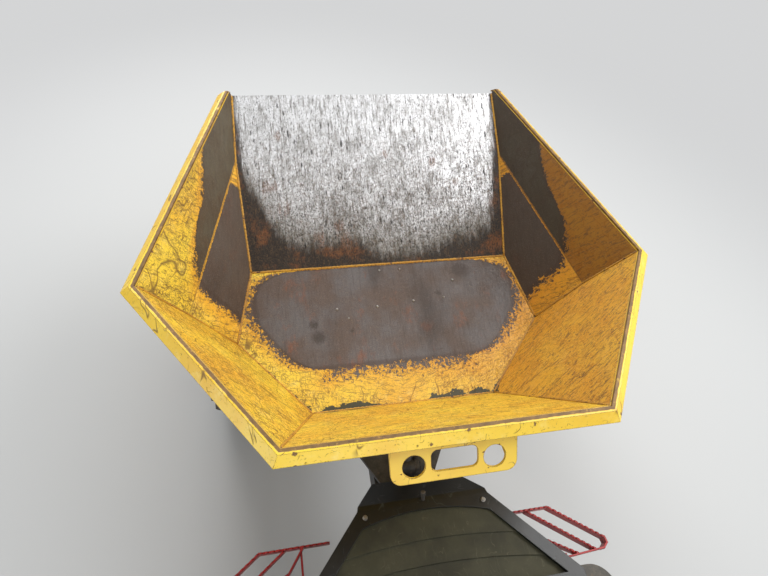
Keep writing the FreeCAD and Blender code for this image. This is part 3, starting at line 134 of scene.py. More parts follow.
def newGroup(name, inputs, outputs):
    tree = bpy.data.node_groups.new(name, "ShaderNodeTree")
    kinds = {"vector": "NodeSocketVector", "value": "NodeSocketFloat", "colour": "NodeSocketColor"}
    for socketName, kind, value in inputs:
        socket = tree.interface.new_socket(name=socketName, in_out="INPUT", socket_type=kinds[kind])
        if value is not None:
            socket.default_value = value
    for socketName, kind in outputs:
        tree.interface.new_socket(name=socketName, in_out="OUTPUT", socket_type=kinds[kind])
    return tree, tree.nodes.new("NodeGroupInput").outputs, tree.nodes.new("NodeGroupOutput").inputs


def useGroup(tree, group, **values):
    node = addNode(tree, "ShaderNodeGroup", node_tree=group)
    for name, value in values.items():
        wire(tree, node.inputs[name], value)
    return node.outputs


# Thin wandering scratches: the level lines of a few stretched noises, broken up
def makeScratches():
    tree, given, made = newGroup("scratches", [("Vector", "vector", None), ("Size", "value", 0.1),
                                               ("Width", "value", 0.02), ("Amount", "value", 0.5)],
                                 [("Mask", "value")])
    scale = calc(tree, "DIVIDE", 1.0, given["Size"])
    place = vectorCalc(tree, "MULTIPLY", given["Vector"], vectorOf(tree, scale))
    bend = noise(tree, place, 2.2, 2.0, 0.5, 1)
    place = vectorCalc(tree, "ADD", place, vectorCalc(tree, "MULTIPLY", bend, (0.35, 0.35, 0.35)))
    total = None
    layers = [((1.0, 0.22, 0.6), (10, 25, 35), 1.3), ((0.25, 1.0, 0.7), (40, 10, -20), 1.1),
              ((1.0, 0.5, 0.2), (70, 0, 80), 0.9), ((0.7, 0.18, 1.0), (15, 65, -50), 1.6)]
    for size, turn, spread in layers:
        laid = stretch(tree, place, size, turn)
        level = calc(tree, "ABSOLUTE", calc(tree, "SUBTRACT", noise(tree, laid, 2.4 * spread, 1.0), 0.5))
        line = fade(tree, level, given["Width"], 0.0)
        gate = noise(tree, stretch(tree, place, (spread, 1.3, 1.1), turn), 1.7, 2.0)
        edge = calc(tree, "SUBTRACT", 0.72, calc(tree, "MULTIPLY", given["Amount"], 0.4))
        gate = fade(tree, gate, edge, calc(tree, "ADD", edge, 0.06))
        line = calc(tree, "MULTIPLY", line, gate)
        total = line if total is None else calc(tree, "MAXIMUM", total, line)
    wire(tree, made["Mask"], total)
    return tree


def vectorOf(tree, value):
    node = addNode(tree, "ShaderNodeCombineXYZ")
    for socket in node.inputs:
        wire(tree, socket, value)
    return node.outputs[0]


# Small chips and specks, each about Size across, in a share Amount of the cells
def makeFlecks():
    tree, given, made = newGroup("flecks", [("Vector", "vector", None), ("Size", "value", 0.01),
                                            ("Amount", "value", 0.3)], [("Mask", "value")])
    scale = calc(tree, "DIVIDE", 1.0, given["Size"])
    warp = noise(tree, given["Vector"], calc(tree, "MULTIPLY", scale, 1.7), 2.0, 0.6, 1)
    push = calc(tree, "MULTIPLY", given["Size"], 0.9)
    place = vectorCalc(tree, "ADD", given["Vector"], vectorCalc(tree, "MULTIPLY", warp, vectorOf(tree, push)))
    cell = addNode(tree, "ShaderNodeTexVoronoi", {"Vector": place, "Scale": scale})
    chance = addNode(tree, "ShaderNodeSeparateColor", {"Color": cell.outputs["Color"]}).outputs[0]
    chosen = fade(tree, chance, given["Amount"], calc(tree, "SUBTRACT", given["Amount"], 0.05))
    reach = calc(tree, "MULTIPLY", chance, 1.1)
    speck = fade(tree, calc(tree, "ADD", cell.outputs["Distance"], reach), 0.42, 0.26)
    wire(tree, made["Mask"], calc(tree, "MULTIPLY", speck, chosen))
    return tree


# A border that wear has eaten into: Distance is positive on the worn side
def makeRagged():
    tree, given, made = newGroup("raggedBorder", [("Vector", "vector", None), ("Distance", "value", 0.0),
                                                  ("Width", "value", 0.03), ("Size", "value", 0.02)],
                                 [("Mask", "value")])
    scale = calc(tree, "DIVIDE", 1.0, given["Size"])
    rough = noise(tree, given["Vector"], scale, 6.0, 0.72)
    wide = noise(tree, given["Vector"], calc(tree, "MULTIPLY", scale, 0.22), 3.0, 0.6)
    push = calc(tree, "ADD", calc(tree, "SUBTRACT", rough, 0.5), calc(tree, "SUBTRACT", wide, 0.5))
    push = calc(tree, "MULTIPLY", calc(tree, "MULTIPLY", push, given["Width"]), 3.0)
    wire(tree, made["Mask"], fade(tree, calc(tree, "ADD", given["Distance"], push), -0.0012, 0.0012))
    return tree


# Outer corners where the coat has rubbed through, found from a rounded normal
def makeWornEdges():
    tree, given, made = newGroup("wornEdges", [("Vector", "vector", None), ("Radius", "value", 0.003),
                                               ("Amount", "value", 0.5)],
                                 [("Mask", "value"), ("Normal", "vector")])
    bevel = addNode(tree, "ShaderNodeBevel", {"Radius": given["Radius"]}, samples=4)
    flat = addNode(tree, "ShaderNodeNewGeometry").outputs["True Normal"]
    turn = calc(tree, "SUBTRACT", 1.0, vectorCalc(tree, "DOT_PRODUCT", bevel.outputs[0], flat))
    rough = noise(tree, given["Vector"], 140.0, 4.0, 0.7)
    limit = calc(tree, "SUBTRACT", 0.62, calc(tree, "MULTIPLY", given["Amount"], 0.5))
    worn = calc(tree, "ADD", calc(tree, "MULTIPLY", turn, 2.4), calc(tree, "MULTIPLY", rough, 0.5))
    edge = fade(tree, worn, limit, calc(tree, "ADD", limit, 0.06))
    wire(tree, made["Mask"], calc(tree, "MULTIPLY", edge, fade(tree, turn, 0.01, 0.05)))
    wire(tree, made["Normal"], bevel.outputs[0])
    return tree


# Dust and dried mud, thicker on faces that look up and low on the machine
def makeDust():
    tree, given, made = newGroup("dustFilm", [("Vector", "vector", None), ("Amount", "value", 0.4)],
                                 [("Mask", "value")])
    normal = addNode(tree, "ShaderNodeTexCoord").outputs["Normal"]
    up = addNode(tree, "ShaderNodeSeparateXYZ", {"Vector": normal}).outputs["Z"]
    height = addNode(tree, "ShaderNodeSeparateXYZ", {"Vector": given["Vector"]}).outputs["Z"]
    low = fade(tree, height, 0.75, 0.15, 0.0, 0.5)
    cloud = noise(tree, given["Vector"], 9.0, 5.0, 0.65)
    grain = noise(tree, given["Vector"], 160.0, 3.0, 0.6)
    lie = calc(tree, "ADD", fade(tree, up, 0.1, 0.95, 0.15, 0.75), low)
    film = calc(tree, "MULTIPLY", lie, fade(tree, cloud, 0.32, 0.68))
    film = calc(tree, "MULTIPLY", film, fade(tree, grain, 0.2, 0.75, 0.6, 1.0))
    wire(tree, made["Mask"], calc(tree, "MULTIPLY", film, given["Amount"]))
    return tree


scratches = makeScratches()
flecks = makeFlecks()
raggedBorder = makeRagged()
wornEdges = makeWornEdges()
dustFilm = makeDust()


def startMaterial(name):
    material = bpy.data.materials.new(name)
    material.use_nodes = True
    tree = material.node_tree
    shader = tree.nodes["Principled BSDF"]
    place = addNode(tree, "ShaderNodeTexCoord").outputs["Object"]
    return material, tree, shader, place


def bump(tree, height, distance, normal=None, strength=1.0):
    node = addNode(tree, "ShaderNodeBump", {"Height": height, "Distance": distance, "Strength": strength})
    wire(tree, node.inputs["Normal"], normal)
    return node.outputs[0]


dustColour = rgb(150, 138, 118)


# Paint on steel, with scratches, rubbed edges, specks and dust
def coatedMetal(name, look):
    material, tree, shader, place = startMaterial(name)
    tone = noise(tree, place, look.get("cloud", 5.0), 4.0)
    colour = blendColour(tree, fade(tree, tone, 0.35, 0.7), look["colour"], look["shade"])
    fine = useGroup(tree, scratches, Vector=place, Size=look.get("scratchSize", 0.12), Width=0.012,
                    Amount=look["scratched"])["Mask"]
    colour = blendColour(tree, calc(tree, "MULTIPLY", fine, 0.75), colour, look["under"])
    chips = useGroup(tree, flecks, Vector=place, Size=look.get("chipSize", 0.014), Amount=look["chipped"])["Mask"]
    edge = useGroup(tree, wornEdges, Vector=place, Radius=look.get("edge", 0.003), Amount=look["rubbed"])
    bare = calc(tree, "MAXIMUM", chips, edge["Mask"])
    rust = blendColour(tree, noise(tree, place, 60.0, 4.0), look["under"], look["rust"])
    colour = blendColour(tree, bare, colour, rust)
    dust = useGroup(tree, dustFilm, Vector=place, Amount=look["dusty"])["Mask"]
    colour = blendColour(tree, dust, colour, look.get("dust", dustColour))
    wire(tree, shader.inputs["Base Color"], colour)
    rough = blendValue(tree, tone, look["rough"] - 0.06, look["rough"] + 0.08)
    rough = blendValue(tree, bare, rough, 0.6)
    wire(tree, shader.inputs["Roughness"], blendValue(tree, dust, rough, 0.88))
    shader.inputs["Metallic"].default_value = look.get("metal", 0.0)
    height = calc(tree, "SUBTRACT", calc(tree, "MULTIPLY", noise(tree, place, 210.0, 2.0), look.get("peel", 0.25)),
                  calc(tree, "ADD", bare, calc(tree, "MULTIPLY", fine, 0.5)))
    wire(tree, shader.inputs["Normal"], bump(tree, height, 0.0006, edge["Normal"]))
    return material


# Moulded plastic or rubber with a fine grain
def mouldedSkin(name, look):
    material, tree, shader, place = startMaterial(name)
    tone = noise(tree, place, 6.0, 4.0)
    colour = blendColour(tree, fade(tree, tone, 0.3, 0.75), look["colour"], look["shade"])
    rub = useGroup(tree, scratches, Vector=place, Size=0.1, Width=0.01, Amount=look["scuffed"])["Mask"]
    colour = blendColour(tree, calc(tree, "MULTIPLY", rub, 0.5), colour, look["pale"])
    edge = useGroup(tree, wornEdges, Vector=place, Radius=look.get("edge", 0.003), Amount=0.25)
    colour = blendColour(tree, calc(tree, "MULTIPLY", edge["Mask"], 0.35), colour, look["pale"])
    dust = useGroup(tree, dustFilm, Vector=place, Amount=look["dusty"])["Mask"]
    colour = blendColour(tree, dust, colour, look.get("dust", dustColour))
    wire(tree, shader.inputs["Base Color"], colour)
    rough = blendValue(tree, tone, look["rough"] - 0.05, look["rough"] + 0.07)
    wire(tree, shader.inputs["Roughness"], blendValue(tree, dust, rough, 0.9))
    cell = addNode(tree, "ShaderNodeTexVoronoi", {"Vector": place, "Scale": look["grain"]}).outputs["Distance"]
    wire(tree, shader.inputs["Normal"], bump(tree, cell, look["grainDepth"], edge["Normal"]))
    return material


# Bare machined or plated steel
def bareMetal(name, look):
    material, tree, shader, place = startMaterial(name)
    tone = noise(tree, place, 14.0, 4.0)
    spots = useGroup(tree, flecks, Vector=place, Size=0.012, Amount=look["rusted"])["Mask"]
    colour = blendColour(tree, tone, look["colour"], look["shade"])
    colour = blendColour(tree, spots, colour, rgb(104, 62, 34))
    edge = useGroup(tree, wornEdges, Vector=place, Radius=0.002, Amount=0.1)
    dust = useGroup(tree, dustFilm, Vector=place, Amount=look["dusty"])["Mask"]
    wire(tree, shader.inputs["Base Color"], blendColour(tree, dust, colour, dustColour))
    wire(tree, shader.inputs["Metallic"], calc(tree, "SUBTRACT", 1.0, calc(tree, "MAXIMUM", spots, dust)))
    rough = blendValue(tree, noise(tree, place, 90.0, 3.0), look["rough"] - 0.08, look["rough"] + 0.1)
    wire(tree, shader.inputs["Roughness"], blendValue(tree, dust, rough, 0.85))
    fine = noise(tree, stretch(tree, place, (1.0, 1.0, 0.05)), 400.0, 2.0)
    wire(tree, shader.inputs["Normal"], bump(tree, fine, 0.0002, edge["Normal"]))
    return material


# The skip: paint where nothing rubs, worn steel where the load slides
def skipPlace(tree, place):
    # from the rim's corners, with both sides folded on to the right-hand one
    moved = vectorCalc(tree, "SUBTRACT", place, tuple(rimCorner))
    parts = addNode(tree, "ShaderNodeSeparateXYZ", {"Vector": moved}).outputs
    across = calc(tree, "ABSOLUTE", parts["X"])
    folded = addNode(tree, "ShaderNodeCombineXYZ", {"X": across, "Y": parts["Y"], "Z": parts["Z"]}).outputs[0]
    return across, parts["Y"], parts["Z"], folded, parts["X"]


def innerPlanes(nodeName, smallest=0.02):
    # inner faces of a plate, as (normal, distance) in the skip's own frame, largest first
    found = []
    for face in nodes[nodeName].data.polygons:
        if (skipInside - face.center).dot(face.normal) < 0:
            continue
        for row in found:
            if row[0].dot(face.normal) > 0.999:
                row[1] += face.area
                break
        else:
            found.append([face.normal.copy(), face.area, face.center.copy()])
    found.sort(key=lambda row: -row[1])
    return [(row[0], row[0].dot(row[2] - rimCorner)) for row in found if row[1] > smallest]


def foldedPlane(plane):
    normal, distance = plane
    return Vector((-abs(normal.x), normal.y, normal.z)), distance


skipPlanes = {
    "upper": foldedPlane(innerPlanes("skip_side_right")[0]),
    "lower": foldedPlane(innerPlanes("skip_side_right")[1]),
    "corner": foldedPlane(innerPlanes("skip_corner_right")[0]),
    "rear": innerPlanes("skip_rear")[0],
    "floor": innerPlanes("skip_floor")[0],
    "front": innerPlanes("skip_front_plate")[0],
}


def seamDistance(tree, folded, own, names):
    # distance within the own plate from the nearest seam with the named ones
    nearest = None
    for name in names:
        normal, distance = skipPlanes[name]
        sine = skipPlanes[own][0].cross(normal).length
        away = calc(tree, "SUBTRACT", vectorCalc(tree, "DOT_PRODUCT", folded, tuple(normal)), distance)
        away = calc(tree, "DIVIDE", away, sine)
        nearest = away if nearest is None else calc(tree, "MINIMUM", nearest, away)
    return nearest


def profile(tree, value, rows):
    # smooth run through (place, value) rows, level beyond both ends
    places = [place for place, level in rows]
    levels = [level for place, level in rows]
    low, high = min(levels), max(levels)
    node = addNode(tree, "ShaderNodeFloatCurve")
    curve = node.mapping.curves[0]
    shares = [((place - places[0]) / (places[-1] - places[0]), (level - low) / (high - low))
              for place, level in rows]
    curve.points[0].location, curve.points[1].location = shares[0], shares[-1]
    for share in shares[1:-1]:
        curve.points.new(*share)
    for point in curve.points:
        point.handle_type = "AUTO_CLAMPED"
    node.mapping.update()
    spot = addNode(tree, "ShaderNodeMapRange", {"Value": value, "From Min": places[0], "From Max": places[-1]})
    wire(tree, node.inputs["Value"], spot.outputs[0])
    return calc(tree, "MULTIPLY_ADD", node.outputs[0], high - low, low)


skipPaint = {
    "bright": rgb(236, 200, 56), "deep": rgb(222, 170, 38), "pale": rgb(240, 214, 118),
    "scratch": rgb(88, 58, 26), "fleck": rgb(96, 62, 30), "dirt": rgb(62, 58, 32), "rough": 0.44,
    # paint beside the worn patch, then the painted shade laid on the skip's right-hand side
    "stained": rgb(222, 156, 30), "paintedShade": rgb(204, 134, 24),
}
skipSteel = {
    "brown": rgb(92, 76, 66), "grey": rgb(98, 92, 90), "red": rgb(128, 78, 52), "dark": rgb(54, 42, 34),
    # one colour below is painted shade: dark brown for bare steel on the skip's right-hand side
    "grain": rgb(150, 128, 104), "paintedShade": rgb(34, 24, 14), "rough": 0.46, "metal": 0.3,
}


def dragMarks(tree, folded, normal, drag):
    # thin lines in the direction in which the load slides over a plate
    run = Vector(drag).normalized()
    cross = Vector(normal).cross(run)
    along = vectorCalc(tree, "DOT_PRODUCT", folded, tuple(run))
    across = vectorCalc(tree, "DOT_PRODUCT", folded, tuple(cross))
    total = None
    # size of the pattern, width of a line, share kept, pull along the run
    for size, width, amount, pull in ((14.0, 0.010, 0.54, 0.22), (42.0, 0.03, 0.50, 0.16),
                                      (95.0, 0.06, 0.47, 0.20)):
        laid = addNode(tree, "ShaderNodeCombineXYZ", {"X": calc(tree, "MULTIPLY", along, pull),
                                                      "Y": across}).outputs[0]
        bend = noise(tree, folded, 9.0, 3.0, 0.6, 1)
        laid = vectorCalc(tree, "ADD", laid, vectorCalc(tree, "MULTIPLY", bend, (0.03, 0.03, 0.03)))
        level = calc(tree, "ABSOLUTE", calc(tree, "SUBTRACT", noise(tree, laid, size, 3.0, 0.65), 0.5))
        line = fade(tree, level, width, 0.0)
        gate = fade(tree, noise(tree, laid, size * 1.3, 3.0, 0.7), amount, amount + 0.08)
        line = calc(tree, "MULTIPLY", line, gate)
        total = line if total is None else calc(tree, "MAXIMUM", total, line)
    return total


def paintLayer(tree, place, look):
    tone = noise(tree, place, 3.5, 5.0, 0.6)
    colour = blendColour(tree, fade(tree, tone, 0.35, 0.68), look["bright"], look["deep"])
    haze = noise(tree, place, 24.0, 5.0, 0.65)
    colour = blendColour(tree, fade(tree, haze, 0.5, 0.8, 0.0, 0.6), colour, look["pale"])
    # rubbed through in hair lines, in longer wandering ones and in grains
    gate = fade(tree, noise(tree, place, 5.0, 3.0), 0.34, 0.58, 0.35, 1.0)
    hairs = useGroup(tree, scratches, Vector=place, Size=0.034, Width=0.02, Amount=look["fine"])["Mask"]
    curls = useGroup(tree, scratches, Vector=place, Size=0.09, Width=0.012, Amount=look["fine"])["Mask"]
    long = useGroup(tree, scratches, Vector=place, Size=0.3, Width=0.006, Amount=look["long"])["Mask"]
    marks = calc(tree, "MAXIMUM", calc(tree, "MULTIPLY", hairs, 0.75), calc(tree, "MULTIPLY", curls, 0.95))
    marks = calc(tree, "MULTIPLY", marks, gate)
    marks = calc(tree, "MAXIMUM", marks, calc(tree, "MULTIPLY", long, 0.8))
    grain = noise(tree, place, 170.0, 4.0, 0.7)
    limit = calc(tree, "MULTIPLY_ADD", look["specks"], -0.1, 0.685)
    grains = calc(tree, "MULTIPLY", fade(tree, grain, limit, calc(tree, "ADD", limit, 0.04)), gate)
    colour = blendColour(tree, marks, colour, look["scratch"])
    colour = blendColour(tree, calc(tree, "MULTIPLY", grains, 0.8), colour, look["fleck"])
    return colour, calc(tree, "MAXIMUM", marks, grains)


def steelLayer(tree, place, look):
    cloud = noise(tree, place, 6.0, 5.0, 0.6)
    colour = blendColour(tree, fade(tree, cloud, 0.35, 0.65), look["brown"], look["grey"])
    tint = noise(tree, stretch(tree, place, (1.0, 0.6, 1.0)), 12.0, 6.0, 0.7)
    colour = blendColour(tree, fade(tree, tint, 0.54, 0.72, 0.0, 0.75), colour, look["red"])
    rub = noise(tree, stretch(tree, place, (1.0, 0.08, 0.08)), 150.0, 3.0, 0.6)
    colour = blendColour(tree, fade(tree, rub, 0.45, 0.8, 0.0, 0.35), colour, look["dark"])
    smear = noise(tree, stretch(tree, place, (1.0, 0.3, 0.3)), 5.0, 3.0)
    colour = blendColour(tree, fade(tree, smear, 0.54, 0.7, 0.0, 0.6), colour, look["dark"])
    sand = noise(tree, place, 260.0, 4.0, 0.75)
    colour = blendColour(tree, fade(tree, sand, 0.52, 0.64, 0.0, 0.45), colour, look["dark"])
    colour = blendColour(tree, fade(tree, sand, 0.42, 0.33, 0.0, 0.4), colour, look["grain"])
    return colour, rub


def skipSkin(name, own, seams, wear, paint=None, steel=None, keep=0.004, border=0.028, fringe=0.06, dirt=0.0,
             dirtSeams=(), apex=0.0, spots=()):
    # defaults, among them a middle strength of painted shade on the right-hand side
    paintLook = {**skipPaint, "fine": 0.75, "long": 0.5, "specks": 0.5, "drag": None, "drawn": 0.75,
                 "paintedShadeStrength": 0.4, **(paint or {})}
    steelLook = {**skipSteel, **(steel or {})}
    material, tree, shader, place = startMaterial(name)
    across, along, rise, folded, side = skipPlace(tree, place)
    coat, marks = paintLayer(tree, place, paintLook)
    plate, rub = steelLayer(tree, place, steelLook)
    seam = seamDistance(tree, folded, own, seams)
    reach = wear(tree, across, along, rise, side)
    # deeper colour beside the worn patch, and painted shade: paint and bare steel darken towards the skip's
    # right-hand side
    near = fade(tree, calc(tree, "ADD", reach, calc(tree, "MULTIPLY", noise(tree, place, 20.0, 4.0), 0.05)),
                -0.08, 0.02, 0.0, 0.75)
    coat = blendColour(tree, near, coat, paintLook["stained"])
    paintedShade = calc(tree, "MULTIPLY", fade(tree, side, -0.15, 0.35), paintLook["paintedShadeStrength"])
    coat = blendColour(tree, paintedShade, coat, paintLook["paintedShade"])
    plate = blendColour(tree, calc(tree, "MULTIPLY", paintedShade, 0.62), plate, steelLook["paintedShade"])
    if paintLook["drag"]:
        drawn = dragMarks(tree, folded, skipPlanes[own][0], paintLook["drag"])
        coat = blendColour(tree, calc(tree, "MULTIPLY", drawn, paintLook["drawn"]), coat, paintLook["scratch"])
    bare = useGroup(tree, raggedBorder, Vector=place, Distance=reach, Width=border, Size=0.026)["Mask"]
    # grains of bare steel, fewer the further they are from the worn patch
    limit = fade(tree, reach, -fringe, 0.006, 0.69, 0.45)
    grains = noise(tree, stretch(tree, place, (1.0, 0.8, 0.55)), 95.0, 6.0, 0.78)
    bare = calc(tree, "MAXIMUM", bare, fade(tree, grains, limit, calc(tree, "ADD", limit, 0.02)))
    ragged = calc(tree, "MULTIPLY", calc(tree, "SUBTRACT", noise(tree, place, 120.0, 4.0, 0.7), 0.5), 0.012)
    kept = fade(tree, calc(tree, "ADD", seam, ragged), keep, keep + 0.0015)
    if apex:
        # paint that the load never reached, in the narrow end between two seams
        both = calc(tree, "ADD", seamDistance(tree, folded, own, seams[:1]),
                    seamDistance(tree, folded, own, seams[-1:]))
        both = calc(tree, "MULTIPLY_ADD", ragged, 2.5, both)
        kept = calc(tree, "MULTIPLY", kept, fade(tree, both, apex, apex + 0.004))
    bare = calc(tree, "MULTIPLY", bare, kept)
    for x, y, size in spots:
        offset = addNode(tree, "ShaderNodeCombineXYZ", {"X": calc(tree, "SUBTRACT", side, x),
                                                        "Y": calc(tree, "SUBTRACT", along, y)}).outputs[0]
        away = addNode(tree, "ShaderNodeVectorMath", {0: offset}, operation="LENGTH").outputs["Value"]
        away = calc(tree, "MULTIPLY_ADD", ragged, 4.0, away)
        plate = blendColour(tree, fade(tree, away, size, size * 0.3, 0.0, 0.7), plate, steelLook["dark"])
    colour = blendColour(tree, bare, coat, plate)
    # brown stain where the patch ends
    stain = fade(tree, calc(tree, "ABSOLUTE", calc(tree, "SUBTRACT", reach, 0.004)), 0.016, 0.002)
    colour = blendColour(tree, calc(tree, "MULTIPLY", calc(tree, "MULTIPLY", stain, bare), 0.45), colour,
                         rgb(60, 40, 24))
    joint = fade(tree, seam, 0.0035, 0.001)
    colour = blendColour(tree, calc(tree, "MULTIPLY", joint, 0.5), colour, paintLook["scratch"])
    if dirt:
        heap = calc(tree, "SUBTRACT", dirt, seamDistance(tree, folded, own, dirtSeams))
        heap = calc(tree, "MINIMUM", heap, calc(tree, "SUBTRACT", 0.02, along))
        corner = fade(tree, calc(tree, "ABSOLUTE", calc(tree, "SUBTRACT", across, 0.215)), 0.2, 0.03, -0.02, 0.01)
        heap = calc(tree, "ADD", heap, corner)
        patchy = calc(tree, "MULTIPLY", calc(tree, "SUBTRACT", noise(tree, place, 15.0, 4.0), 0.5), 0.11)
        mud = fade(tree, calc(tree, "ADD", calc(tree, "ADD", heap, patchy), ragged), -0.002, 0.002)
        colour = blendColour(tree, mud, colour, paintLook["dirt"])
    wire(tree, shader.inputs["Base Color"], colour)
    wire(tree, shader.inputs["Metallic"], calc(tree, "MULTIPLY", bare, steelLook["metal"]))
    rough = blendValue(tree, bare, blendValue(tree, marks, paintLook["rough"], 0.7),
                       calc(tree, "ADD", steelLook["rough"] - 0.08, calc(tree, "MULTIPLY", rub, 0.2)))
    wire(tree, shader.inputs["Roughness"], rough)
    dents = noise(tree, place, 8.0, 2.0)
    height = calc(tree, "MULTIPLY", dents, 4.0)
    height = calc(tree, "SUBTRACT", height, calc(tree, "MULTIPLY", marks, 0.6))
    height = calc(tree, "SUBTRACT", height, calc(tree, "MULTIPLY", bare, 0.7))
    height = calc(tree, "ADD", height, calc(tree, "MULTIPLY", noise(tree, place, 300.0, 3.0), 0.25))
    wire(tree, shader.inputs["Normal"], bump(tree, height, 0.0007))
    return material


# Borders of the worn patches as rows of (place, value): metres from the rim's corners
wornBorders = {
    # place along the skip, half width of the floor's patch there
    "floor": [(-0.145, 0.24), (-0.135, 0.315), (-0.10, 0.385), (-0.05, 0.432), (0.01, 0.475), (0.06, 0.507),
              (0.13, 0.513), (0.19, 0.50), (0.225, 0.465), (0.248, 0.40), (0.256, 0.33)],
    # height, place along the skip where the sides' wear begins
    "side": [(-0.40, 0.06), (-0.34, 0.085), (-0.27, 0.10), (-0.215, 0.12), (-0.179, 0.155), (-0.119, 0.259),
             (-0.082, 0.407), (-0.004, 0.598)],
}


# Scorched spots on the floor and drops of weld metal on it, as rows of (x, y, size)
floorSpots = [(-0.285, -0.02, 0.036), (-0.30, 0.03, 0.022), (-0.16, -0.005, 0.012), (0.31, 0.21, 0.05),
              (0.20, 0.12, 0.015)]
weldDrops = [(-0.02, 0.235, 0.005), (0.062, 0.234, 0.005), (-0.205, 0.085, 0.0055), (-0.05, 0.083, 0.0055),
             (0.095, 0.095, 0.0055), (0.22, 0.10, 0.0045), (-0.165, 0.045, 0.004), (0.27, 0.17, 0.006)]


def floorReach(tree, across, along, rise, side):
    away = calc(tree, "SUBTRACT", profile(tree, along, wornBorders["floor"]), across)
    away = calc(tree, "MINIMUM", away, calc(tree, "ADD", along, 0.142))
    return calc(tree, "MINIMUM", away, calc(tree, "SUBTRACT", 0.268, along))


def sideReach(tree, across, along, rise, side):
    return calc(tree, "SUBTRACT", along, profile(tree, rise, wornBorders["side"]))


def littleReach(tree, across, along, rise, side):
    # paint holds: only a scuffed low edge
    place = addNode(tree, "ShaderNodeTexCoord").outputs["Object"]
    return calc(tree, "SUBTRACT", calc(tree, "MULTIPLY", noise(tree, place, 5.0, 3.0), 0.12), 0.13)


# each paint row also sets how strong the painted shade on the skip's right-hand side is
skipMaterials = {
    "floor": skipSkin("skipFloor", "floor", ["front", "lower", "corner", "rear"], floorReach, dirt=0.012,
                      dirtSeams=["corner", "rear"], fringe=0.11, border=0.02, spots=floorSpots,
                      paint={"specks": 0.9, "drag": (1.0, 0.25, 0.0), "drawn": 0.6, "paintedShadeStrength": 0.45}),
    "upper": skipSkin("skipUpperSide", "upper", ["front", "corner", "lower"], sideReach,
                      steel={"brown": rgb(80, 64, 42), "grey": rgb(86, 76, 56), "red": rgb(84, 60, 34),
                             "metal": 0.15}, keep=0.003, fringe=0.07,
                      paint={"fine": 0.95, "long": 0.8, "specks": 0.8, "drag": (0.0, -0.25, 1.0),
                             # the upper side plates get the strongest and darkest painted shade
                             "paintedShadeStrength": 0.9, "paintedShade": rgb(140, 86, 4)}),
    "lower": skipSkin("skipLowerSide", "lower", ["front", "corner", "floor", "upper"], sideReach,
                      steel={"brown": rgb(82, 64, 50), "grey": rgb(84, 70, 58), "red": rgb(92, 62, 44),
                             "metal": 0.15}, keep=0.003, fringe=0.06, apex=0.045,
                      paint={"specks": 0.8, "drag": (0.1, -0.3, 1.0), "paintedShadeStrength": 0.6}),
    "corner": skipSkin("skipCorner", "corner", ["upper", "lower", "rear", "floor"], littleReach,
                       dirt=0.006, dirtSeams=["floor"],
                       paint={"fine": 0.85, "long": 0.8, "specks": 0.8, "drag": (0.53, 0.29, 0.43),
                              "drawn": 0.9, "paintedShadeStrength": 0.6}),
    "rear": skipSkin("skipRear", "rear", ["corner", "floor"], littleReach, dirt=0.004, dirtSeams=["floor"],
                     paint={"fine": 0.7, "long": 0.7, "specks": 0.6, "drag": (1.0, 0.05, 0.12), "drawn": 0.7,
                            "paintedShadeStrength": 0.1}),
}

lipSteel = {
    "bright": rgb(234, 234, 236), "dull": rgb(118, 114, 108), "pit": rgb(26, 20, 16), "crack": rgb(92, 68, 44),
    "rust": rgb(112, 62, 14), "burn": rgb(34, 23, 12), "olive": rgb(74, 66, 44), "seam": rgb(222, 176, 76),
    # place across, height of the brown band over the seam with the floor
    "foot": [(-0.50, 0.34), (-0.46, 0.28), (-0.42, 0.19), (-0.353, 0.115), (-0.164, 0.10), (-0.10, 0.10),
             (-0.017, 0.05), (0.10, 0.045), (0.199, 0.055), (0.278, 0.085), (0.40, 0.11), (0.477, 0.14)],
    # height up the plate, width of the brown band along each side
    "sides": [(0.0, 0.075), (0.15, 0.055), (0.35, 0.038), (0.62, 0.012)],
    "spots": [(-0.373, 0.737, 0.022), (-0.412, 0.552, 0.03), (0.245, 0.622, 0.026), (-0.167, 0.410, 0.022),
              (-0.128, 0.330, 0.05), (-0.390, 0.470, 0.032), (-0.30, 0.56, 0.02), (0.05, 0.66, 0.016),
              (0.33, 0.55, 0.018), (-0.24, 0.37, 0.03)],
}


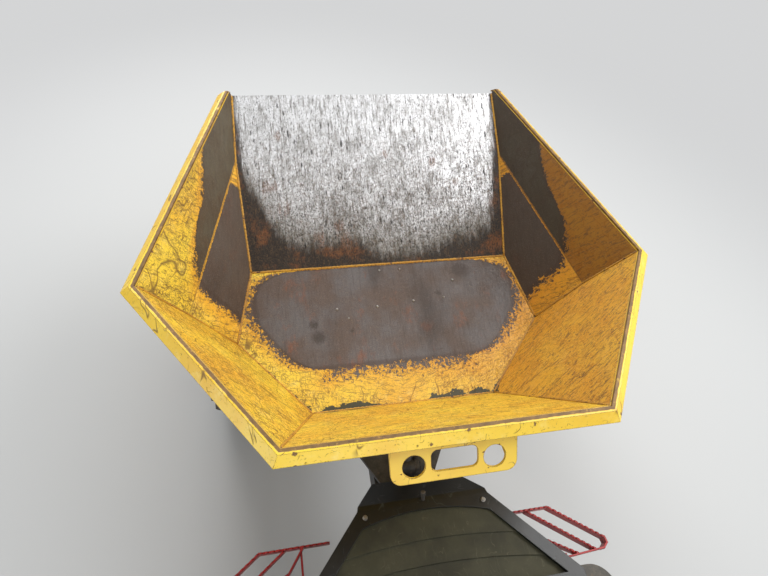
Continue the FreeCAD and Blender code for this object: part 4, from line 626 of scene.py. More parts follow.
# The lip plate: scoured bright, with fine runs and grains, and brown at its foot and sides
def lipPlate(name, look):
    material, tree, shader, place = startMaterial(name)
    across, along, rise, folded, side = skipPlace(tree, place)
    foot = seamDistance(tree, folded, "front", ["floor"])
    flank = seamDistance(tree, folded, "front", ["upper", "lower"])
    upright = stretch(tree, place, (1.0, 0.12, 0.12))
    wide = noise(tree, place, 5.0, 5.0, 0.65)
    mottle = noise(tree, stretch(tree, place, (1.0, 0.55, 0.55)), 36.0, 7.0, 0.85)
    streak = noise(tree, upright, 130.0, 5.0, 0.7)
    dim = calc(tree, "ADD", fade(tree, foot, 0.45, 0.05, 0.0, 0.4), fade(tree, wide, 0.45, 0.72, 0.0, 0.4))
    dim = calc(tree, "ADD", dim, fade(tree, mottle, 0.42, 0.66, -0.1, 0.55))
    colour = blendColour(tree, dim, look["bright"], look["dull"])
    colour = blendColour(tree, fade(tree, streak, 0.48, 0.66, 0.0, 0.8), colour, look["dull"])
    # brown foot and sides that darken softly, in upright runs
    rough = calc(tree, "SUBTRACT", noise(tree, stretch(tree, place, (1.0, 0.3, 0.3)), 34.0, 6.0, 0.75), 0.5)
    rough = calc(tree, "ADD", rough, calc(tree, "SUBTRACT", noise(tree, upright, 60.0, 4.0, 0.7), 0.5))
    band = calc(tree, "SUBTRACT", profile(tree, side, look["foot"]), foot)
    wash = fade(tree, calc(tree, "MULTIPLY_ADD", rough, 0.16, band), -0.14, 0.03)
    burnt = fade(tree, calc(tree, "MULTIPLY_ADD", rough, 0.10, band), -0.03, 0.045)
    edge = calc(tree, "SUBTRACT", profile(tree, foot, look["sides"]), flank)
    burnt = calc(tree, "MAXIMUM", burnt, fade(tree, calc(tree, "MULTIPLY_ADD", rough, 0.05, edge), -0.014, 0.016))
    colour = blendColour(tree, calc(tree, "MULTIPLY", wash, 0.62), colour, look["olive"])
    patch = noise(tree, place, 11.0, 6.0, 0.7)
    brown = blendColour(tree, fade(tree, patch, 0.5, 0.66), look["burn"], look["rust"])
    colour = blendColour(tree, calc(tree, "MULTIPLY", burnt, 0.95), colour, brown)
    # blots of rust with broken edges
    rust = None
    for x, y, size in look["spots"]:
        offset = addNode(tree, "ShaderNodeCombineXYZ", {"X": calc(tree, "SUBTRACT", side, x),
                                                        "Y": calc(tree, "SUBTRACT", along, y)}).outputs[0]
        away = addNode(tree, "ShaderNodeVectorMath", {0: offset}, operation="LENGTH").outputs["Value"]
        away = calc(tree, "MULTIPLY_ADD", rough, size * 3.5, away)
        spot = fade(tree, away, size, size * 0.2)
        rust = spot if rust is None else calc(tree, "MAXIMUM", rust, spot)
    broken = fade(tree, noise(tree, place, 190.0, 4.0, 0.7), 0.4, 0.6, 0.25, 1.0)
    rust = calc(tree, "MULTIPLY", rust, broken)
    colour = blendColour(tree, calc(tree, "MULTIPLY", rust, 0.75), colour, look["rust"])
    # fine dark grains, hair cracks and drips
    fine = noise(tree, stretch(tree, place, (1.0, 0.45, 0.45)), 240.0, 4.0, 0.8)
    more = fade(tree, foot, 0.62, 0.05, 0.575, 0.53)
    grains = fade(tree, fine, more, calc(tree, "ADD", more, 0.035))
    cracks = useGroup(tree, scratches, Vector=place, Size=0.04, Width=0.018, Amount=0.95)["Mask"]
    cracks = calc(tree, "MULTIPLY", cracks, fade(tree, foot, 0.65, 0.3, 0.3, 0.95))
    colour = blendColour(tree, calc(tree, "MULTIPLY", cracks, 0.75), colour, look["crack"])
    colour = blendColour(tree, calc(tree, "MULTIPLY", grains, 0.8), colour, look["pit"])
    drips = useGroup(tree, flecks, Vector=stretch(tree, place, (1.0, 0.3, 0.3)), Size=0.011, Amount=0.16)["Mask"]
    colour = blendColour(tree, calc(tree, "MULTIPLY", drips, 0.85), colour, look["pit"])
    line = calc(tree, "MULTIPLY_ADD", rough, 0.003, foot)
    colour = blendColour(tree, fade(tree, line, 0.0045, 0.0030), colour, look["seam"])
    wire(tree, shader.inputs["Base Color"], colour)
    worn = calc(tree, "MAXIMUM", calc(tree, "MAXIMUM", burnt, rust), calc(tree, "MAXIMUM", grains, drips))
    worn = calc(tree, "MAXIMUM", worn, calc(tree, "MULTIPLY", wash, 0.6))
    wire(tree, shader.inputs["Metallic"], fade(tree, worn, 0.0, 1.0, 0.5, 0.05))
    wire(tree, shader.inputs["Roughness"], calc(tree, "MULTIPLY_ADD", worn, 0.22, 0.45))
    height = calc(tree, "ADD", calc(tree, "MULTIPLY", noise(tree, place, 9.0, 2.0), 4.0),
                  calc(tree, "MULTIPLY", streak, 0.5))
    height = calc(tree, "SUBTRACT", height, calc(tree, "ADD", grains, cracks))
    wire(tree, shader.inputs["Normal"], bump(tree, height, 0.0006))
    return material


skipMaterials["front"] = lipPlate("skipLipPlate", lipSteel)

rimLook = {
    "strip": rgb(128, 96, 62), "stripDark": rgb(92, 68, 46), "stripPale": rgb(196, 152, 78),
    "stripWidth": 0.0095,
}


# The rim: a worn strip along its inner edge, then bright paint on the flange
def rimSkin(name, look):
    material, tree, shader, place = startMaterial(name)
    across, along, rise, folded, side = skipPlace(tree, place)
    paint = {**skipPaint, "bright": rgb(240, 202, 54), "deep": rgb(230, 182, 42), "fine": 0.25, "long": 0.42,
             "specks": 0.45}
    coat, marks = paintLayer(tree, place, paint)
    # outward distance from the inner edge: the largest of the three straight runs
    tip = Vector((0.550, 0.892, 0.0))
    corner = Vector((0.830, 0.0, 0.0))
    rear = Vector((0.441, -0.560, 0.0))
    out = None
    for start, end in ((tip, corner), (corner, rear), (rear, Vector((0.0, rear.y, 0.0)))):
        run = end - start
        normal = Vector((-run.y, run.x, 0.0)).normalized()
        if normal.dot(start + end) < 0:
            normal = -normal
        away = calc(tree, "SUBTRACT", vectorCalc(tree, "DOT_PRODUCT", folded, tuple(normal)), normal.dot(start))
        out = away if out is None else calc(tree, "MAXIMUM", out, away)
    inside = calc(tree, "SUBTRACT", look["stripWidth"], out)
    strip = useGroup(tree, raggedBorder, Vector=place, Distance=inside, Width=0.002, Size=0.02)["Mask"]
    gone = noise(tree, place, 7.0, 4.0, 0.65)
    strip = calc(tree, "MULTIPLY", strip, fade(tree, gone, 0.3, 0.38, 0.3, 0.95))
    cloud = noise(tree, place, 40.0, 5.0, 0.65)
    brown = blendColour(tree, fade(tree, cloud, 0.3, 0.7), look["strip"], look["stripDark"])
    brown = blendColour(tree, fade(tree, noise(tree, place, 90.0, 4.0), 0.58, 0.75, 0.0, 0.6), brown,
                        look["stripPale"])
    edge = useGroup(tree, wornEdges, Vector=place, Radius=0.003, Amount=0.5)
    bare = calc(tree, "MAXIMUM", strip, edge["Mask"])
    chips = useGroup(tree, flecks, Vector=place, Size=0.02, Amount=0.1)["Mask"]
    bare = calc(tree, "MAXIMUM", bare, chips)
    wire(tree, shader.inputs["Base Color"], blendColour(tree, bare, coat, brown))
    wire(tree, shader.inputs["Metallic"], calc(tree, "MULTIPLY", bare, 0.2))
    wire(tree, shader.inputs["Roughness"], blendValue(tree, calc(tree, "MAXIMUM", bare, marks), 0.4, 0.62))
    height = calc(tree, "SUBTRACT", calc(tree, "MULTIPLY", cloud, 0.7), calc(tree, "ADD", bare, marks))
    wire(tree, shader.inputs["Normal"], bump(tree, height, 0.0006, edge["Normal"]))
    return material


looks = {
    "skipOutside": {"colour": rgb(228, 184, 46), "shade": rgb(208, 160, 36), "under": rgb(92, 58, 30),
                    "rust": rgb(120, 66, 30), "scratched": 0.35, "chipped": 0.12, "rubbed": 0.5, "dusty": 0.35,
                    "rough": 0.4},
    "bracketPaint": {"colour": rgb(238, 198, 58), "shade": rgb(226, 178, 46), "under": rgb(92, 58, 30),
                     "rust": rgb(120, 66, 30), "scratched": 0.35, "chipped": 0.2, "rubbed": 0.7, "dusty": 0.1,
                     "rough": 0.42},
    "hoodPaint": {"colour": rgb(228, 184, 46), "shade": rgb(214, 166, 38), "under": rgb(92, 58, 30),
                  "rust": rgb(116, 66, 32), "scratched": 0.25, "chipped": 0.08, "rubbed": 0.35, "dusty": 0.3,
                  "rough": 0.36},
    "chassisPaint": {"colour": rgb(34, 35, 36), "shade": rgb(27, 27, 28), "under": rgb(66, 56, 48),
                     "rust": rgb(84, 60, 44), "scratched": 0.3, "chipped": 0.1, "rubbed": 0.35, "dusty": 0.5,
                     "rough": 0.46},
    "stepPaint": {"colour": rgb(178, 14, 14), "shade": rgb(148, 6, 8), "under": rgb(60, 26, 22),
                  "rust": rgb(84, 36, 26), "scratched": 0.3, "chipped": 0.15, "rubbed": 0.35, "dusty": 0.03,
                  "rough": 0.4},
    "ramPaint": {"colour": rgb(38, 38, 40), "shade": rgb(30, 30, 31), "under": rgb(70, 60, 52),
                 "rust": rgb(84, 62, 46), "scratched": 0.3, "chipped": 0.1, "rubbed": 0.4, "dusty": 0.45,
                 "rough": 0.38},
    "wheelPaint": {"colour": rgb(222, 170, 48), "shade": rgb(198, 146, 38), "under": rgb(96, 62, 34),
                   "rust": rgb(112, 66, 34), "scratched": 0.35, "chipped": 0.2, "rubbed": 0.6, "dusty": 0.8,
                   "rough": 0.45},
    "castIron": {"colour": rgb(74, 72, 70), "shade": rgb(56, 54, 52), "under": rgb(92, 64, 44),
                 "rust": rgb(106, 66, 40), "scratched": 0.2, "chipped": 0.3, "rubbed": 0.4, "dusty": 0.5,
                 "rough": 0.6, "metal": 0.4},
    "blackPlastic": {"colour": rgb(26, 27, 29), "shade": rgb(34, 35, 37), "pale": rgb(84, 86, 88),
                     "scuffed": 0.3, "dusty": 0.22, "rough": 0.4, "grain": 900.0, "grainDepth": 0.0002},
    "cowlPaint": {"colour": rgb(13, 16, 17), "shade": rgb(8, 10, 11), "under": rgb(60, 66, 66),
                  "rust": rgb(70, 66, 58), "scratched": 0.3, "chipped": 0.03, "rubbed": 0.2, "dusty": 0.05,
                  "rough": 0.36},
    "olivePlastic": {"colour": rgb(58, 56, 35), "shade": rgb(42, 40, 25), "pale": rgb(92, 88, 66),
                     "scuffed": 0.4, "dusty": 0.2, "rough": 0.72, "grain": 700.0, "grainDepth": 0.0003,
                     "dust": rgb(122, 116, 90)},
    "tyreRubber": {"colour": rgb(32, 32, 32), "shade": rgb(42, 41, 40), "pale": rgb(78, 74, 70),
                   "scuffed": 0.4, "dusty": 0.6, "rough": 0.76, "grain": 600.0, "grainDepth": 0.0004},
    "seatVinyl": {"colour": rgb(36, 36, 38), "shade": rgb(48, 47, 47), "pale": rgb(86, 84, 82),
                  "scuffed": 0.3, "dusty": 0.35, "rough": 0.46, "grain": 420.0, "grainDepth": 0.0004},
    "brightSteel": {"colour": rgb(170, 168, 164), "shade": rgb(140, 136, 130), "rusted": 0.3, "dusty": 0.2,
                    "rough": 0.38},
    "chromeRod": {"colour": rgb(205, 206, 210), "shade": rgb(190, 190, 196), "rusted": 0.03, "dusty": 0.15,
                  "rough": 0.14},
    "lampRed": {"colour": rgb(150, 22, 18), "shade": rgb(120, 14, 12), "pale": rgb(190, 90, 80),
                "scuffed": 0.1, "dusty": 0.3, "rough": 0.2, "grain": 300.0, "grainDepth": 0.0003},
}
makers = {
    coatedMetal: ["skipOutside", "bracketPaint", "hoodPaint", "chassisPaint", "cowlPaint", "stepPaint",
                  "ramPaint", "wheelPaint", "castIron"],
    mouldedSkin: ["blackPlastic", "olivePlastic", "tyreRubber", "seatVinyl", "lampRed"],
    bareMetal: ["brightSteel", "chromeRod"],
}
finishes = {name: maker(name, looks[name]) for maker, names in makers.items() for name in names}
finishes["rimSkin"] = rimSkin("rimSkin", rimLook)
print("materials made,", len(bpy.data.materials))

# The finish of each of the record's material slots
slotFinish = {
    "skip_paint": "skipOutside", "worn_steel": "skipOutside", "chassis_paint": "chassisPaint",
    "hood_paint": "hoodPaint", "red_paint": "stepPaint", "ram_paint": "ramPaint", "rim_paint": "wheelPaint",
    "bright_steel": "brightSteel", "chrome_rod": "chromeRod", "cast_iron": "castIron", "tyre": "tyreRubber",
    "black_plastic": "blackPlastic", "olive_plastic": "olivePlastic", "seat_vinyl": "seatVinyl",
    "lamp_red": "lampRed",
}
nodeFinish = {"skip_rim": "rimSkin", "skip_bracket": "bracketPaint", "cowl_frame": "cowlPaint"}


def paintNodes():
    for row in frame["record"]["subparts"]:
        mesh = nodes[row["node"]].data
        mesh.materials.clear()
        mesh.materials.append(finishes[nodeFinish.get(row["node"], slotFinish[row["material_slot"]])])


# Inner faces of the skip's plates get their own worn finish
skipFaces = {
    "skip_side_right": ["upper", "lower"], "skip_side_left": ["upper", "lower"],
    "skip_corner_right": ["corner"], "skip_corner_left": ["corner"], "skip_rear": ["rear"],
    "skip_floor": ["floor"], "skip_front_plate": ["front"],
}


def paintSkipInside():
    for nodeName, names in skipFaces.items():
        mesh = nodes[nodeName].data
        for name, plane in zip(names, innerPlanes(nodeName)):
            mesh.materials.append(skipMaterials[name])
            index = len(mesh.materials) - 1
            normal, distance = plane
            for face in mesh.polygons:
                level = face.normal.dot(face.center - rimCorner)
                if face.normal.dot(normal) > 0.999 and abs(level - distance) < 0.002:
                    face.material_index = index


paintNodes()
paintSkipInside()
print("nodes painted")


def newPiece(name, mesh, material, body):
    piece = bpy.data.objects.new(name, mesh)
    bpy.context.scene.collection.objects.link(piece)
    if material:
        mesh.materials.append(material)
    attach(piece, body)
    return piece


def plainMesh(name, verts, faces, smooth=True):
    mesh = bpy.data.meshes.new(name)
    mesh.from_pydata(verts, [], faces)
    for face in mesh.polygons:
        face.use_smooth = smooth
    mesh.validate()
    return mesh


def faceOutward(mesh):
    solid = bmesh.new()
    solid.from_mesh(mesh)
    bmesh.ops.recalc_face_normals(solid, faces=solid.faces)
    solid.to_mesh(mesh)
    solid.free()


def joinShells(shells):
    verts, faces = [], []
    for someVerts, someFaces in shells:
        start = len(verts)
        verts += someVerts
        faces += [tuple(start + index for index in face) for face in someFaces]
    return verts, faces


# Weld beads along the skip's inner seams
welds = {"radius": 0.0042, "ripple": 0.0007, "pitch": 0.007, "sides": 7, "lift": 0.0008}


def sharedCorners(first, second):
    # inner corners that two mitred plates share, from the top down
    mine = [v.co for v in nodes[first].data.vertices]
    found = []
    for v in nodes[second].data.vertices:
        if any((v.co - other).length < 0.0004 for other in mine):
            if all((v.co - known).length > 0.0004 for known in found):
                found.append(v.co.copy())
    planes = []
    for nodeName in (first, second):
        planes += [(normal, distance) for normal, distance in innerPlanes(nodeName)]
    inner = []
    for point in found:
        local = point - rimCorner
        if sum(abs(normal.dot(local) - distance) < 0.0008 for normal, distance in planes) >= 2:
            inner.append(point)
    return inner


def beadMesh(name, path, settings, seed):
    draw = random.Random(seed)
    mesh = bpy.data.meshes.new(name)
    points = []
    for start, end in zip(path, path[1:]):
        count = max(2, int((end - start).length / settings["pitch"]))
        points += [start.lerp(end, index / count) for index in range(count)]
    points.append(path[-1])
    verts, faces = [], []
    sides = settings["sides"]
    for index, point in enumerate(points):
        ahead = points[min(index + 1, len(points) - 1)] - points[max(index - 1, 0)]
        turn = ahead.to_track_quat("Z", "Y").to_matrix()
        swell = settings["radius"] + (settings["ripple"] if index % 2 else -settings["ripple"])
        swell *= draw.uniform(0.88, 1.12)
        if index in (0, len(points) - 1):
            swell *= 0.3
        for side in range(sides):
            angle = 2 * math.pi * side / sides
            verts.append(point + turn @ Vector((math.cos(angle) * swell, math.sin(angle) * swell, 0)))
    for index in range(len(points) - 1):
        for side in range(sides):
            after = (side + 1) % sides
            low, high = index * sides, (index + 1) * sides
            faces.append((low + side, low + after, high + after, high + side))
    faces.append(tuple(range(sides))[::-1])
    faces.append(tuple(range((len(points) - 1) * sides, len(points) * sides)))
    mesh.from_pydata(verts, [], faces)
    for face in mesh.polygons:
        face.use_smooth = True
    mesh.validate()
    return mesh


def layWelds():
    seams = [("skip_floor", "skip_front_plate"), ("skip_floor", "skip_rear")]
    for side in ("right", "left"):
        seams += [("skip_side_" + side, "skip_front_plate"), ("skip_side_" + side, "skip_corner_" + side),
                  ("skip_corner_" + side, "skip_rear"), ("skip_corner_" + side, "skip_floor"),
                  ("skip_side_" + side, "skip_floor")]
    for number, (first, second) in enumerate(seams):
        path = sharedCorners(first, second)
        flat = abs(path[0].z - path[-1].z) < 0.02 and len(path) == 2
        path.sort(key=(lambda p: p.x) if flat else (lambda p: -p.z))
        if len(path) < 2:
            print("no seam between", first, second)
            continue
        lifted = [p + (skipInside - p).normalized() * welds["lift"] for p in path]
        mesh = beadMesh("weld", lifted, welds, number)
        newPiece("weld_" + str(number + 1), mesh, weldFinish, "skip")


weldFinish = coatedMetal("weldBead", {
    "colour": rgb(206, 152, 40), "shade": rgb(176, 124, 34), "under": rgb(80, 52, 30), "rust": rgb(104, 64, 36),
    "scratched": 0.6, "chipped": 0.75, "rubbed": 0.3, "dusty": 0.1, "rough": 0.5, "chipSize": 0.02})
layWelds()
print("welds laid")


def dropOnFloor(x, y, size):
    # squat crowned bead of metal that lies on the floor plate
    normal, distance = skipPlanes["floor"]
    z = (distance - normal.x * x - normal.y * y) / normal.z
    middle = rimCorner + Vector((x, y, z))
    turn = normal.to_track_quat("Z", "Y").to_matrix()
    verts = [middle + turn @ Vector((size * r * math.cos(math.pi * i / 4), size * r * math.sin(math.pi * i / 4),
                                     size * h))
             for r, h in ((1.0, -0.2), (0.92, 0.25), (0.55, 0.6)) for i in range(8)]
    verts.append(middle + turn @ Vector((0, 0, size * 0.72)))
    faces = [(ring * 8 + i, ring * 8 + (i + 1) % 8, ring * 8 + 8 + (i + 1) % 8, ring * 8 + 8 + i)
             for ring in range(2) for i in range(8)]
    faces += [(16 + i, 16 + (i + 1) % 8, 24) for i in range(8)]
    faces.append(tuple(reversed(range(8))))
    return [tuple(v) for v in verts], faces


verts, faces = joinShells([dropOnFloor(*row) for row in weldDrops])
newPiece("weld_drops", plainMesh("weldDrops", verts, faces), finishes["brightSteel"], "skip")


# Tyres: the same carcass and lugs as the CAD ones, turned fine, with rounded shoulders and ribbed walls
tyre = {
    "segments": 112, "lugsASide": 14, "lugHeight": 0.024, "lugWidth": 0.042, "lugLead": 0.95, "lugRound": 0.004,
    # share of the half width, radius of the carcass from the bead to the middle of the tread
    "outline": [(0.800, 0.1958), (0.860, 0.2075), (0.885, 0.2105), (0.900, 0.2180), (0.905, 0.2240),
                (0.935, 0.2300), (0.975, 0.2470), (0.997, 0.2640), (1.000, 0.2700), (0.985, 0.2760),
                (0.996, 0.2800), (0.992, 0.2960), (0.972, 0.3140), (0.950, 0.3200), (0.890, 0.3370),
                (0.790, 0.3490), (0.640, 0.3560), (0.300, 0.3572)],
    # share of the half width, share of the lead, how far the lug's top lies under the tyre's radius
    "lugStations": [(-0.060, 0.0, 0.0), (0.20, 0.26, 0.0), (0.45, 0.52, 0.0015), (0.68, 0.75, 0.0055),
                    (0.85, 0.92, 0.0115), (0.930, 1.0, 0.0165)],
}


def turnedRing(outline, half, segments):
    rows = [(share * half, radius) for share, radius in outline]
    rows += [(-x, radius) for x, radius in reversed(rows)]
    verts, faces = [], []
    for index in range(segments):
        turn = 2 * math.pi * index / segments
        verts += [(x, radius * math.sin(turn), -radius * math.cos(turn)) for x, radius in rows]
    count = len(rows)
    for index in range(segments):
        after = (index + 1) % segments
        for row in range(count):
            follow = (row + 1) % count
            faces.append((index * count + row, index * count + follow, after * count + follow,
                          after * count + row))
    return verts, faces


def lugBar(middle, side, half, radius, look):
    verts, faces = [], []
    width = look["lugWidth"] / radius / 2
    soft = look["lugRound"]
    section = [(-1.0, None), (-0.9, soft), (-0.76, 0.0), (0.76, 0.0), (0.9, soft), (1.0, None)]
    for share, lead, drop in look["lugStations"]:
        turn = middle + (lead - 0.5) * look["lugLead"] * look["lugWidth"] * 2 / radius
        top = radius - drop
        foot = radius - look["lugHeight"] - 0.008 - (0.05 if share > 0.9 else 0.012) * max(share, 0.0)
        for edge, sink in section:
            level = foot if sink is None else top - sink
            angle = turn + edge * width
            verts.append((side * share * half, level * math.sin(angle), -level * math.cos(angle)))
    size = len(section)
    for row in range(len(look["lugStations"]) - 1):
        for index in range(size):
            after = (index + 1) % size
            faces.append((row * size + index, row * size + after, (row + 1) * size + after,
                          (row + 1) * size + index))
    last = (len(look["lugStations"]) - 1) * size
    faces.append(tuple(range(size)))
    faces.append(tuple(range(last, last + size)))
    return verts, faces


def buildTyres():
    for wheel in ("front_left", "front_right", "rear_left", "rear_right"):
        low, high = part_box("tyre_" + wheel)
        middle = (low + high) / 2
        half, radius = (high.x - low.x) / 2, (high.z - low.z) / 2
        shells = [turnedRing(tyre["outline"], half, tyre["segments"])]
        for index in range(tyre["lugsASide"]):
            turn = 2 * math.pi * index / tyre["lugsASide"]
            shells.append(lugBar(turn, 1, half, radius, tyre))
            shells.append(lugBar(turn + math.pi / tyre["lugsASide"], -1, half, radius, tyre))
        verts, faces = joinShells(shells)
        hand = -1 if wheel.endswith("left") else 1
        verts = [(hand * x + middle.x, y + middle.y, z + middle.z) for x, y, z in verts]
        mesh = plainMesh("tyre", verts, faces)
        faceOutward(mesh)
        mesh.set_sharp_from_angle(angle=math.radians(32))
        piece = newPiece("fine_tyre_" + wheel, mesh, finishes["tyreRubber"], "wheel_" + wheel)
        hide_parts("tyre_" + wheel)


buildTyres()
print("tyres built")

# Bolts and nuts, as rows of (name, body, places, axis, radius, height)
bolts = {
    "washer": 1.28, "washerHeight": 0.0025, "chamfer": 0.82,
    "wheelCircle": 0.080, "wheelNuts": 6, "wheelNutRadius": 0.0175, "wheelNutHeight": 0.011, "discFace": 0.082,
    "ringCircle": 0.190, "ringBolts": 16, "ringRadius": 0.0105, "ringHeight": 0.009,
    # the cowl's two screws, from its middle and from the tip pivot
    "cowlHalf": 0.200, "cowlBack": 1.020, "cowlRadius": 0.0065, "cowlHeight": 0.005,
}


def hexHead(place, axis, radius, height, look):
    # washer, six-sided head and its turned top, along the axis from the seat
    turn = Vector(axis).to_track_quat("Z", "Y").to_matrix()
    verts, faces = [], []
    rows = [(radius * look["washer"], 0.0, 24), (radius * look["washer"], look["washerHeight"], 24)]
    for size, level, count in rows:
        verts += [Vector((size * math.cos(2 * math.pi * i / count), size * math.sin(2 * math.pi * i / count), level))
                  for i in range(count)]
    faces += [tuple(reversed(range(24))), tuple(range(24, 48))]
    faces += [(i, (i + 1) % 24, 24 + (i + 1) % 24, 24 + i) for i in range(24)]
    start = len(verts)
    low, top = look["washerHeight"], look["washerHeight"] + height
    for size, level in ((radius, low), (radius, top - radius * 0.12), (radius * look["chamfer"], top)):
        verts += [Vector((size * math.cos(math.pi * i / 3), size * math.sin(math.pi * i / 3), level))
                  for i in range(6)]
    for row in range(2):
        for i in range(6):
            base = start + row * 6
            faces.append((base + i, base + (i + 1) % 6, base + 6 + (i + 1) % 6, base + 6 + i))
    faces += [tuple(reversed(range(start, start + 6))), tuple(range(start + 12, start + 18))]
    return [tuple(turn @ v + Vector(place)) for v in verts], faces


def setBolts(name, body, places, axis, radius, height, finish):
    verts, faces = joinShells([hexHead(place, axis, radius, height, bolts) for place in places])
    mesh = plainMesh(name, verts, faces, smooth=False)
    newPiece(name, mesh, finishes[finish], body)


def wheelNuts():
    for wheel in ("front_left", "front_right", "rear_left", "rear_right"):
        low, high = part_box("rim_" + wheel)
        tyreLow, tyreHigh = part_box("tyre_" + wheel)
        middle = (tyreLow + tyreHigh) / 2
        hand = -1 if wheel.endswith("left") else 1
        half = (tyreHigh.x - tyreLow.x) / 2
        face = middle.x + hand * (bolts["discFace"] - half)
        places = []
        for index in range(bolts["wheelNuts"]):
            turn = 2 * math.pi * index / bolts["wheelNuts"]
            places.append((face, middle.y + bolts["wheelCircle"] * math.cos(turn),
                           middle.z + bolts["wheelCircle"] * math.sin(turn)))
        setBolts("wheel_nuts_" + wheel, "wheel_" + wheel, places, (hand, 0, 0), bolts["wheelNutRadius"],
                 bolts["wheelNutHeight"], "castIron")


def ringBolts():
    low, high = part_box("slew_ring")
    middle = (low + high) / 2
    top = high.z + 0.0203
    places = []
    for index in range(bolts["ringBolts"]):
        turn = 2 * math.pi * (index + 0.5) / bolts["ringBolts"]
        places.append((middle.x + bolts["ringCircle"] * math.cos(turn),
                       middle.y + bolts["ringCircle"] * math.sin(turn), top))
    setBolts("slew_bolts", "swivel", places, (0, 0, 1), bolts["ringRadius"], bolts["ringHeight"], "castIron")


def topOf(nodeName, x, y):
    # height of a node's upper skin over a point of the plan
    hit, point, normal, index = nodes[nodeName].ray_cast(Vector((x, y, 3.0)), Vector((0, 0, -1)))
    return point, normal


def cowlBolts():
    spots = [topOf("cowl_frame", side * bolts["cowlHalf"], tipPivot.y - bolts["cowlBack"]) for side in (-1, 1)]
    setBolts("cowl_bolts", "rear_frame", [point for point, normal in spots], spots[0][1], bolts["cowlRadius"],
             bolts["cowlHeight"], "brightSteel")


# Tapered pin that stands out of the fold in the middle of the cowl
pin = {"ahead": 0.010, "foot": 0.0065, "head": 0.0085, "length": 0.030, "lean": 38.0, "sides": 20}


def cowlPin():
    point, normal = topOf("cowl_frame", 0.0, tipPivot.y - bolts["cowlBack"] + 0.022 + pin["ahead"])
    turn = Matrix.Rotation(-math.radians(pin["lean"]), 3, "X")
    # radius and place along the pin
    rows = [(pin["foot"], -0.004), (pin["foot"], pin["length"] * 0.55), (pin["head"], pin["length"] * 0.6),
            (pin["head"], pin["length"] * 0.93), (pin["head"] * 0.75, pin["length"])]
    verts = []
    for radius, level in rows:
        for side in range(pin["sides"]):
            angle = 2 * math.pi * side / pin["sides"]
            verts.append(tuple(point + turn @ Vector((radius * math.cos(angle), radius * math.sin(angle), level))))
    count = pin["sides"]
    faces = [(row * count + i, row * count + (i + 1) % count, (row + 1) * count + (i + 1) % count,
              (row + 1) * count + i) for row in range(len(rows) - 1) for i in range(count)]
    faces += [tuple(reversed(range(count))), tuple(range((len(rows) - 1) * count, len(rows) * count))]
    newPiece("cowl_pin", plainMesh("cowlPin", verts, faces, smooth=False), finishes["castIron"], "rear_frame")


wheelNuts()
ringBolts()
cowlBolts()
cowlPin()
print("bolts set")

# Seat: a crowned cushion and back in sewn vinyl, puffed by the cloth solver
seat = {
    "voxel": 0.006, "pressure": 4.0, "frames": 20, "cap": 0.024, "inset": 0.011, "crown": 0.010, "waist": 0.006,
    "corner": 0.055, "proud": 0.007, "rest": 0.0006, "lean": 12.0,
    "weltWidth": 0.0035, "weltHeight": 0.0035, "channelWidth": 0.006, "channelDepth": 0.006,
}


def cushionForm(size, corner, crown, waist):
    # closed block from x, y in the plan and z upwards: rounded corners, crowned top, sides drawn in
    half = Vector(size) / 2
    steps, rounds = 14, 8
    outline = []
    for quarter in range(4):
        cornerX = (half.x - corner) * (1 if quarter in (0, 3) else -1)
        cornerY = (half.y - corner) * (1 if quarter in (0, 1) else -1)
        for step in range(rounds + 1):
            turn = math.pi / 2 * (quarter + step / rounds)
            outline.append(Vector((cornerX + corner * math.cos(turn), cornerY + corner * math.sin(turn), 0)))
    rows = []
    levels = [(-1.0, 0.86), (-0.94, 0.965), (-0.78, 1.0), (-0.3, 1.0), (0.3, 1.0), (0.78, 1.0), (0.94, 0.965),
              (1.0, 0.86)]
    for level, spread in levels:
        row = []
        for point in outline:
            # sides pull in half way between the corners
            along = 1 - min(1.0, max(abs(point.x) / half.x, abs(point.y) / half.y)
                            * min(abs(point.x) / half.x, abs(point.y) / half.y))
            pull = 1 - waist * along * (1 - level * level) / half.x
            row.append(Vector((point.x * spread * pull, point.y * spread * pull, half.z * level)))
        rows.append(row)
    verts = [point for row in rows for point in row]
    count = len(outline)
    faces = []
    for row in range(len(rows) - 1):
        for index in range(count):
            after = (index + 1) % count
            faces.append((row * count + index, row * count + after, (row + 1) * count + after,
                          (row + 1) * count + index))
    # top and bottom: rings that shrink to the middle, the top ones crowned
    for level, base, reverse in ((1, (len(rows) - 1) * count, False), (-1, 0, True)):
        inner = base
        for step in range(1, 5):
            share = 1 - step / 5
            ring = []
            for index in range(count):
                edge = verts[base + index]
                lift = (crown if level > 0 else 0.0) * (1 - share * share)
                ring.append(Vector((edge.x * share, edge.y * share, edge.z + lift)))
            start = len(verts)
            verts += ring
            for index in range(count):
                after = (index + 1) % count
                quad = (inner + index, inner + after, start + after, start + index)
                faces.append(quad[::-1] if reverse else quad)
            inner = start
        cap = tuple(range(inner, inner + count))
        faces.append(cap[::-1] if reverse else cap)
    return verts, faces


